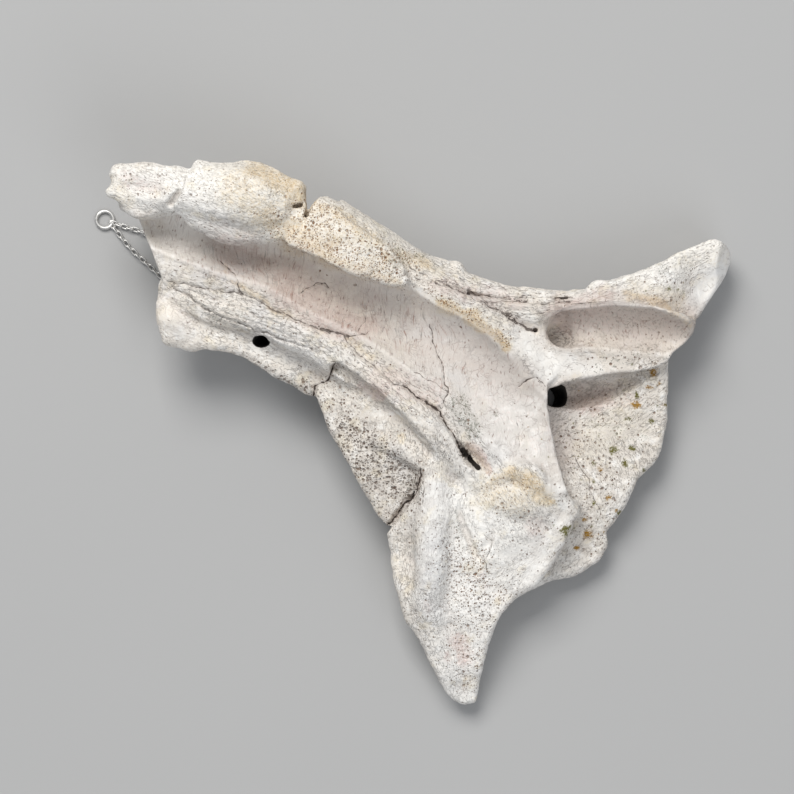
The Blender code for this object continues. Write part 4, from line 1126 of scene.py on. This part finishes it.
class Nodes:
    """A short way to write a material's nodes, whose colour is laid on in turn."""

    def __init__(self, name):
        self.material = bpy.data.materials.new(name)
        self.material.use_nodes = True
        self.tree = self.material.node_tree
        self.shader = self.tree.nodes["Principled BSDF"]
        self.object_place = self.node("ShaderNodeTexCoord", "Object")
        self.colour = None

    def plug(self, socket, value):
        if isinstance(value, Value):
            self.tree.links.new(value.socket, socket)
        else:
            socket.default_value = value

    def node(self, kind, output, inputs=(), **settings):
        """A new node with its settings and inputs, as the value of the output asked for."""
        made = self.tree.nodes.new(kind)
        for key, value in settings.items():
            setattr(made, key, value)
        for name, value in dict(inputs).items():
            self.plug(made.inputs[name], value)
        return Value(self, made.outputs[output])

    def math(self, operation, *values, clamp=False):
        return self.node("ShaderNodeMath", 0, enumerate(values), operation=operation, use_clamp=clamp)

    def vector(self, operation, value, other):
        inputs = {0: value, "Scale" if operation == "SCALE" else 1: other}
        return self.node("ShaderNodeVectorMath", 0, inputs, operation=operation)

    def most(self, *values):
        out = values[0]
        for value in values[1:]:
            out = self.math("MAXIMUM", out, value)
        return out

    def known(self, name, output="Fac"):
        """What the mesh says of each point."""
        return self.node("ShaderNodeAttribute", output, attribute_name=name)

    def noise(self, place, size, detail=2.0, roughness=0.5, output="Fac"):
        inputs = {"Vector": place, "Scale": 1 / size, "Detail": detail, "Roughness": roughness}
        return self.node("ShaderNodeTexNoise", output, inputs)

    def cells(self, place, size):
        """The distance to the middle of the nearest cell, and three random numbers of that cell."""
        distance = self.node("ShaderNodeTexVoronoi", "Distance", {"Vector": place, "Scale": 1 / size})
        red = self.node("ShaderNodeSeparateColor", 0, {0: distance.other("Color")})
        return distance, [red.other(channel) for channel in range(3)]

    def cell_edges(self, place, size):
        inputs = {"Vector": place, "Scale": 1 / size}
        return self.node("ShaderNodeTexVoronoi", "Distance", inputs, feature="DISTANCE_TO_EDGE")

    def mix(self, share, first, second):
        first, second = ((*value, 1) if isinstance(value, tuple) else value for value in (first, second))
        return self.node("ShaderNodeMix", 2, {"Factor": share, 6: first, 7: second}, data_type="RGBA")

    def lay(self, share, colour):
        """Lays a share of a colour over what is there."""
        self.colour = self.mix(share, self.colour, colour)

    def shaken(self, vector, size, far):
        """A vector pushed about by noise, by up to about `far` millimetres."""
        centred = self.vector("SUBTRACT", self.noise(self.place, size, output="Color"), (0.5, 0.5, 0.5))
        return self.vector("ADD", vector, self.vector("SCALE", centred, far))

    def stretched(self, vector, scales):
        return self.vector("MULTIPLY", vector, scales)

    def finish(self, roughness, height):
        """Sets the shader, with its shading tilted by a height in millimetres."""
        tilt = self.node("ShaderNodeBump", "Normal", {"Strength": 1.0, "Distance": MM, "Height": height})
        for name, value in (("Base Color", self.colour), ("Roughness", roughness), ("Normal", tilt)):
            self.plug(self.shader.inputs[name], value)
        return self.material


class BoneNodes(Nodes):
    """The bone's nodes, with what all its layers read: places, noises, and what is known of each point."""

    def __init__(self):
        super().__init__("bone")
        self.place = self.vector("SCALE", self.object_place, 1 / MM)
        facing = self.node("ShaderNodeSeparateXYZ", "Z", {0: self.object_place.other("Normal")})
        self.upward = facing.step(*LICHEN_FACING)
        self.flow = self.known("flow", "Vector")
        for name in KNOWN:
            setattr(self, name, self.known(name))
        for name, (size, detail, roughness) in MOTTLES.items():
            setattr(self, name, self.noise(self.place, size, detail, roughness))
        self.rough = 1.0 - self.smooth
        self.dusky = 1.0 - self.pale * 0.7
        self.walls = self.most(self.canal, self.bowl)
        self.drawn_out = self.rough * self.flowing
        self.jittered = self.shaken(self.place, 5, 1.6)

    def patch(self, tint, low=0.15, high=0.95):
        """A tint broken up by the noise."""
        broken = tint + (self.middle - 0.5) * 0.9 + (self.small - 0.5) * 1.1
        return broken.step(low, high) * tint.step(0.0, 0.25)


def base_tone(n):
    """Warm white, cooler and whiter in places, with bright and dusky specks."""
    cool = n.math("ADD", n.wide.step(0.45, 0.7) * 0.35, n.cool * 0.8, clamp=True)
    n.colour = n.mix(cool, WARM, COOL)
    n.lay(n.middle.step(0.48, 0.72) * 0.8, WHITE)
    n.lay(n.small.step(0.52, 0.72) * 0.55, WHITE)
    n.lay(n.pale * 0.7, WHITE)
    n.lay(n.dull * (0.15 + n.middle.step(0.6, 0.4) * 0.4), SHADE)
    n.lay(n.small.step(0.44, 0.26) * (0.06 + n.rough * 0.24) * n.dusky, SHADE)
    n.lay(n.speck.step(0.54, 0.70) * n.rough * 0.45, WHITE)
    n.lay(n.speck.step(0.45, 0.30) * (0.08 + n.rough * 0.30) * n.dusky, SHADE)


def stains(n, pink):
    """Pink, ochre and dark stains in grainy patches, and a brownish painted shade on the canal's and the
    bowl's walls and beside the through hole.
    """
    grainy = 0.45 + n.speck.step(0.42, 0.60) * 0.55
    n.lay(pink * grainy * 0.75, PINK)
    n.lay(n.patch(n.ochre, -0.2, 1.0) * grainy * 0.6, PALE_OCHRE)
    n.lay(n.patch(n.ochre, 0.30, 1.25) * grainy * 0.85, OCHRE)
    n.lay(n.noise(n.place, 17, 4, 0.65).step(0.54, 0.70) * (0.12 + n.rough * 0.25), PALE_OCHRE)
    specks = n.most((n.speck + n.moss * 0.10).step(0.62, 0.70), (n.small + n.moss * 0.05).step(0.60, 0.67))
    n.lay(specks * n.patch(n.moss, 0.0, 0.9) * 0.75, MOSS)
    n.lay(n.patch(n.moss, 0.3, 1.2) * 0.16, MOSS)
    # painted shade: a brownish darkening of the walls that lie in shade
    n.lay(n.sheltered * (0.34 + n.middle.step(0.35, 0.65) * 0.26), PAINTED_SHADE_AND_GRIME)


def fibres_and_striae(n):
    """Streaks along the bars and across the canal's walls: the grain's places, and the heights they add."""
    fibre = n.noise(n.stretched(n.shaken(n.flow, 9, 3.0), (0.10, 1, 0.7)), 1.5, 3, 0.6)
    swept = n.shaken(n.place, 44, 26.0)
    along = n.stretched(n.shaken(n.flow, 5, 2.0), (0.22, 1, 0.8))
    combed = n.mix(n.walls, along, n.stretched(n.shaken(swept, 14, 6.0), (0.9, 0.24, 0.24)))
    grain = n.noise(combed, 1.1, 2, 0.6)
    strand = fibre.step(0.56, 0.70) * (0.12 + n.fibrous * 0.8) * n.drawn_out
    n.lay(strand * 0.46 * n.dusky, GREY)
    n.lay(grain.step(0.54, 0.66) * (n.drawn_out * 0.18 + n.bowl * 0.85 + n.canal * 0.16), SHADE)
    striae = n.noise(n.stretched(swept, (1, 0.08, 0.08)), 1.3, 3, 0.65)
    streak = striae.step(0.54, 0.68) * n.canal * n.wide.step(0.30, 0.52) * (0.35 + n.sheltered * 0.65)
    n.lay(streak * 0.75, n.mix(n.middle.step(0.4, 0.6), GREY, VEIN))
    return combed, [
        fibre * (0.2 + n.fibrous) * n.drawn_out * 0.8,
        grain * (n.drawn_out * 0.35 + n.walls * 0.15),
        striae * n.canal * 0.35,
    ]


def fine_cracks(n, pink):
    """Broken edges of uneven cells, edges long in the fibres' direction, and wandering lines."""
    jagged = n.shaken(n.shaken(n.place, 2.6, 2.4), 12, 9.0)
    drawn = n.stretched(n.shaken(n.flow, 6, 2.4), (0.30, 1, 0.8))
    crackle = []
    for place, size, thin, amount, low, share in (
            (jagged, 8, 0.022, 0.7, 0.52, 0.35 + n.smooth * 0.65),
            (drawn, 2.6, 0.055, 0.7, 0.46, n.drawn_out),
            (drawn, 4.6, 0.035, 0.8, 0.52, n.drawn_out)):
        edge = 1.0 - n.cell_edges(place, size).step(thin * 0.4, thin * 1.8)
        shown = n.noise(n.place, size * 1.4, 2).step(low, low + 0.08)
        crackle.append(edge * shown * amount * share)
    wander = n.noise(n.shaken(n.place, 3, 1.6), 11, 3, 0.6)
    line = abs(wander - 0.5).step(0.008, 0.002)
    crackle.append(line * n.noise(n.place, 15, 2).step(0.48, 0.58) * 0.7)
    lines = n.most(*crackle) * (1.0 - n.porous * 0.75) * (1.0 - n.canal * 0.35)
    # painted shade in the fine cracks, browner like veins on smooth and pink ground
    n.lay(lines * (0.42 + n.rough * 0.1) * (0.4 + n.dusky * 0.6), n.mix(pink + n.smooth, CRACK, VEIN))
    return lines * -0.5


def pores(n):
    """Round holes: fine ones nearly everywhere, crowded and larger where the bone is spongy."""
    dirt = n.mix(n.ochre + n.porous * n.wide.step(0.6, 0.35) * 0.5, PORE, OCHRE_PORE)
    dirt = n.mix(n.dull * n.porous * 0.7, dirt, CRACK)
    heights = []
    for size, everywhere, crowd, radius, deep in PORES:
        distance, chance = n.cells(n.jittered, size)
        wanted = everywhere + n.math("POWER", n.porous, 1.8) * crowd
        if deep == 1.0:
            wanted = wanted * (0.16 + n.dull * 1.1)
        wanted = wanted * (0.12 + n.rough * 0.88) + n.bowl * (0.06 / size**2)
        wide_as = radius * 0.55 + chance[1] * radius
        hole = 1.0 - distance.step(wide_as * 0.6, wide_as * 1.3)
        hole = hole * n.math("LESS_THAN", chance[0], wanted)
        n.lay(hole * (0.45 + chance[2] * 0.45), dirt)
        heights.append(hole * -deep)
    return heights


def slits(n, combed):
    """Short slits that follow the grain."""
    distance, chance = n.cells(combed, 1.4)
    wanted = ((0.25 + n.fibrous) * n.drawn_out * 0.36 + n.bowl * 0.34
              + n.canal * (0.05 + n.sheltered * 0.3))
    slit = (1.0 - distance.step(0.12, 0.34)) * (1.0 - n.porous * 0.8) * n.math("LESS_THAN", chance[0], wanted)
    n.lay(slit * (0.30 + chance[1] * 0.45), n.mix(n.walls, PORE, VEIN))
    return slit * -0.4


def shade_and_wear(n):
    """Painted shade in the hollows, pale worn edges, large cracks and deep hollows painted near black as
    shade, grime beside the cracks, and holes painted unlit.
    """
    # painted shade: the hollows darkened
    n.lay(n.hollow.step(0.15, 2.4) * 0.25, PAINTED_SHADE_AND_GRIME)
    n.lay(n.hollow.step(-0.6, -3.0) * 0.22, WHITE)
    beside = abs(n.beside)
    uneven = 0.25 + n.noise(n.place, 4, 2).step(0.35, 0.65) * 0.9
    opened = 1.0 - beside.step(uneven * 0.5, uneven * 1.3)
    opened = opened * (n.dark + n.noise(n.place, 9, 2)).step(0.92, 1.08) * (0.35 + n.dark * 0.6)
    n.lay((1.0 - beside.step(0.6, 3.2)) * n.dark.step(0.1, 1.0) * 0.22, PAINTED_SHADE_AND_GRIME)
    # painted shade: the open cracks and the deepest hollows near black
    n.lay(n.most(opened, n.hollow.step(4.5, 8.0) * 0.7), CRACK)
    n.lay(n.shadowed.step(0.45, 0.7), UNLIT)


def lichens(n):
    """Scattered dots and small crusts, on faces that look up."""
    distance, chance = n.cells(n.jittered, 5.5)
    grown = distance + (n.speck - 0.5) * 0.4
    dot = 1.0 - grown.step(0.02, 0.10 + chance[1] * 0.20)
    dot = dot * n.math("LESS_THAN", chance[0], n.speckled * 0.45) * n.upward * 0.8
    n.lay(dot, n.mix(chance[2].step(0.2, 0.4), ORANGE_LICHEN, OLIVE_LICHEN))
    for tint, colour in ((n.orange, ORANGE_LICHEN), (n.olive, OLIVE_LICHEN)):
        crust = (tint + (n.small - 0.5) * 1.8 + (n.speck - 0.5) * 2.4).step(0.15, 0.95)
        n.lay(crust * tint.step(0, 0.4) * n.upward, colour)


def bone_material():
    """Dry, weathered bone: warm white, stained, porous, fibrous and finely cracked."""
    n = BoneNodes()
    pink = n.patch(n.pink)
    base_tone(n)
    stains(n, pink)
    combed, streaks = fibres_and_striae(n)
    cracks = fine_cracks(n, pink)
    holes = pores(n)
    cuts = slits(n, combed)
    shade_and_wear(n)
    lichens(n)
    lumps = n.small * 0.8 * (0.25 + n.rough * 0.75)
    height = sum([n.speck * 0.25, *streaks, cuts, cracks, *holes], lumps)
    n.shader.inputs["Specular IOR Level"].default_value = BONE_GLOSS
    return n.finish(0.62 + n.small * 0.22, height)


def steel_material():
    """Dull drawn silver wire: faint scratches and a little tarnish."""
    n = Nodes("silver")
    place = n.vector("SCALE", n.object_place, 1 / MM)
    tarnish = n.noise(place, 3.0, 3, 0.6)
    fine = n.noise(place, 0.35, 2, 0.6)
    n.colour = n.mix(tarnish.step(0.5, 0.72) * 0.7, SILVER, tuple(c * TARNISHED for c in SILVER))
    n.shader.inputs["Metallic"].default_value = 1.0
    return n.finish(SILVER_ROUGHNESS + tarnish * 0.18, fine * 0.03)


def floor_material():
    """Pale, matt studio paper."""
    n = Nodes("studio_floor")
    n.plug(n.shader.inputs["Base Color"], n.mix(n.noise(n.object_place, 0.5, 2), *FLOOR_COLOURS))
    n.shader.inputs["Roughness"].default_value = FLOOR_ROUGHNESS
    n.shader.inputs["Specular IOR Level"].default_value = FLOOR_GLOSS
    return n.material


# ---------------------------------------------------------------- chain, ring and eye

def link_object(name, points, faces, material):
    """A smooth mesh object of its own, in the scene."""
    mesh = bpy.data.meshes.new(name)
    mesh.from_pydata([tuple(p) for p in points], [], faces)
    mesh.shade_smooth()
    mesh.materials.append(material)
    made = bpy.data.objects.new(name, mesh)
    bpy.context.scene.collection.objects.link(made)
    return made


def tube(line, radius, sides=8):
    """Points and faces of a round wire along a closed line of points."""
    line = np.array(line, float)
    ahead = np.roll(line, -1, 0) - np.roll(line, 1, 0)
    ahead /= np.linalg.norm(ahead, axis=1)[:, None]
    across = np.cross(ahead, (0.0, 0.0, 1.0))
    flat = np.linalg.norm(across, axis=1) < 0.05
    across[flat] = np.cross(ahead[flat], (0.0, 1.0, 0.0))
    across /= np.linalg.norm(across, axis=1)[:, None]
    over = np.cross(across, ahead)
    points, faces = [], []
    for k, middle in enumerate(line):
        here, there = k * sides, (k + 1) % len(line) * sides
        for s in range(sides):
            t = (s + 1) % sides
            angle = 2 * math.pi * s / sides
            points.append(middle + radius * (math.cos(angle) * across[k] + math.sin(angle) * over[k]))
            faces.append((here + s, here + t, there + t, there + s))
    return points, faces


def placed(points, lift=0.0):
    """Points of the stations' plan, in the frame."""
    return [((x - PLAN_CENTRE[0]) * MM, (y - PLAN_CENTRE[1]) * MM, (z + lift) * MM) for x, y, z in points]


def link_line():
    """The middle line of one oval link, along +X, about its own centre."""
    radius = LINK_WIDTH / 2 - LINK_WIRE
    straight = LINK_PITCH / 2 + LINK_WIRE - radius
    points = []
    for end, turn in ((straight, -0.5), (-straight, 0.5)):
        for k in range(LINK_BEND + 1):
            angle = math.pi * (turn + k / LINK_BEND)
            points.append((end + radius * math.cos(angle), radius * math.sin(angle), 0))
    return np.array(points)


def make_chain(name, route, material):
    """Interlocked links along a route, each turned a quarter against the last."""
    rows = smooth_run(route, ROUTE_STEPS)
    run = np.concatenate([[0], np.cumsum(np.linalg.norm(np.diff(rows, axis=0), axis=1))])

    def on_route(distance):
        along = min(max(distance, 0), run[-1])
        return Vector([np.interp(along, run, rows[:, i]) for i in range(3)])

    points, faces = [], []
    for k in range(int(run[-1] / LINK_PITCH) + 1):
        middle = min((k + FIRST_LINK) * LINK_PITCH, run[-1])
        along = (on_route(middle + LOOK_AHEAD) - on_route(middle - LOOK_AHEAD)).normalized()
        side = Vector((0, 0, 1)).cross(along).normalized()
        frame = Matrix((along, side, along.cross(side))).transposed()
        roll = Matrix.Rotation(math.radians(LINK_ROLLS[k % 2]), 3, "X")
        line = [tuple(on_route(middle) + frame @ (roll @ Vector(p))) for p in link_line()]
        new_points, new_faces = tube(line, LINK_WIRE)
        faces += [tuple(i + len(points) for i in face) for face in new_faces]
        points += new_points
    lift = max(FLOOR_CLEARANCE - min(p[2] for p in points), 0)
    return link_object(name, placed(points, lift), faces, material)


def hoop(centre, radius, wire, upright, segments):
    """A round ring of round wire, lying flat or standing upright along X."""
    x, y, z = centre
    points = []
    for k in range(segments):
        angle = 2 * math.pi * k / segments
        side, rise = radius * math.cos(angle), radius * math.sin(angle)
        points.append((x + side, y, z + rise) if upright else (x + side, y + rise, z))
    return tube(points, wire, HOOP_SIDES)


def make_metal():
    """The chain, the ring it carries and the screw eye that holds it."""
    silver = steel_material()
    ring_height = RING_WIRE + FLOOR_CLEARANCE
    points, faces = hoop((*RING_PLACE, ring_height), RING_RADIUS, RING_WIRE, False, RING_STEPS)
    ring = link_object("hanging_ring", placed(points), faces, silver)
    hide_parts("ring")
    eye_height = EYE_RADIUS + EYE_WIRE + FLOOR_CLEARANCE
    points, faces = hoop((*EYE_PLACE, eye_height), EYE_RADIUS, EYE_WIRE, True, EYE_STEPS)
    eye = link_object("eye_ring", placed(points), faces, silver)
    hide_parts("screw_eye")
    upper = make_chain("links_upper", UPPER_STRAND, silver)
    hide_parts("chain_upper")
    lower = make_chain("links_lower", LOWER_STRAND, silver)
    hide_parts("chain_lower")
    for piece in (ring, eye, upper, lower):
        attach(piece, "root")


# ---------------------------------------------------------------- stage

def make_camera():
    """Straight above the plan, far off."""
    camera = bpy.data.cameras.new("camera")
    camera.sensor_width = SENSOR
    camera.lens = SENSOR * (CAMERA_HEIGHT - BONE_MIDDLE) / FRAME_WIDTH
    camera.clip_end = CAMERA_SEES
    made = bpy.data.objects.new("camera", camera)
    made.location = (*placed([(*CAMERA_OVER, 0)])[0][:2], CAMERA_HEIGHT)
    bpy.context.scene.collection.objects.link(made)
    bpy.context.scene.camera = made


def add_light(name, place, size, power, colour):
    """A soft square light that faces the middle of the object."""
    light = bpy.data.lights.new(name, "AREA")
    light.shape = "SQUARE"
    light.size = size
    light.energy = power
    light.color = colour
    made = bpy.data.objects.new(name, light)
    made.location = place
    made.rotation_euler = (Vector(LIT_POINT) - Vector(place)).to_track_quat("-Z", "Y").to_euler()
    bpy.context.scene.collection.objects.link(made)


def make_stage():
    """A wide pale floor, a large soft light from the upper left, and a weak fill."""
    bpy.ops.mesh.primitive_plane_add(size=FLOOR_SIZE, location=(0, 0, FLOOR_LEVEL))
    floor = bpy.context.object
    floor.name = "studio_floor"
    floor.data.materials.append(floor_material())
    for name, light in LIGHTS.items():
        add_light(name, *light)
    world = bpy.data.worlds.new("studio")
    world.use_nodes = True
    background = world.node_tree.nodes["Background"]
    background.inputs["Color"].default_value = SKY
    background.inputs["Strength"].default_value = SKY_STRENGTH
    bpy.context.scene.world = world
    bpy.context.scene.view_settings.view_transform = "Standard"


def main():
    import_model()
    make_camera()
    make_stage()
    bone = make_bone_mesh()
    bone.data.materials.append(bone_material())
    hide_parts(*BONE_NODES)
    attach(bone, "root")
    make_metal()


main()
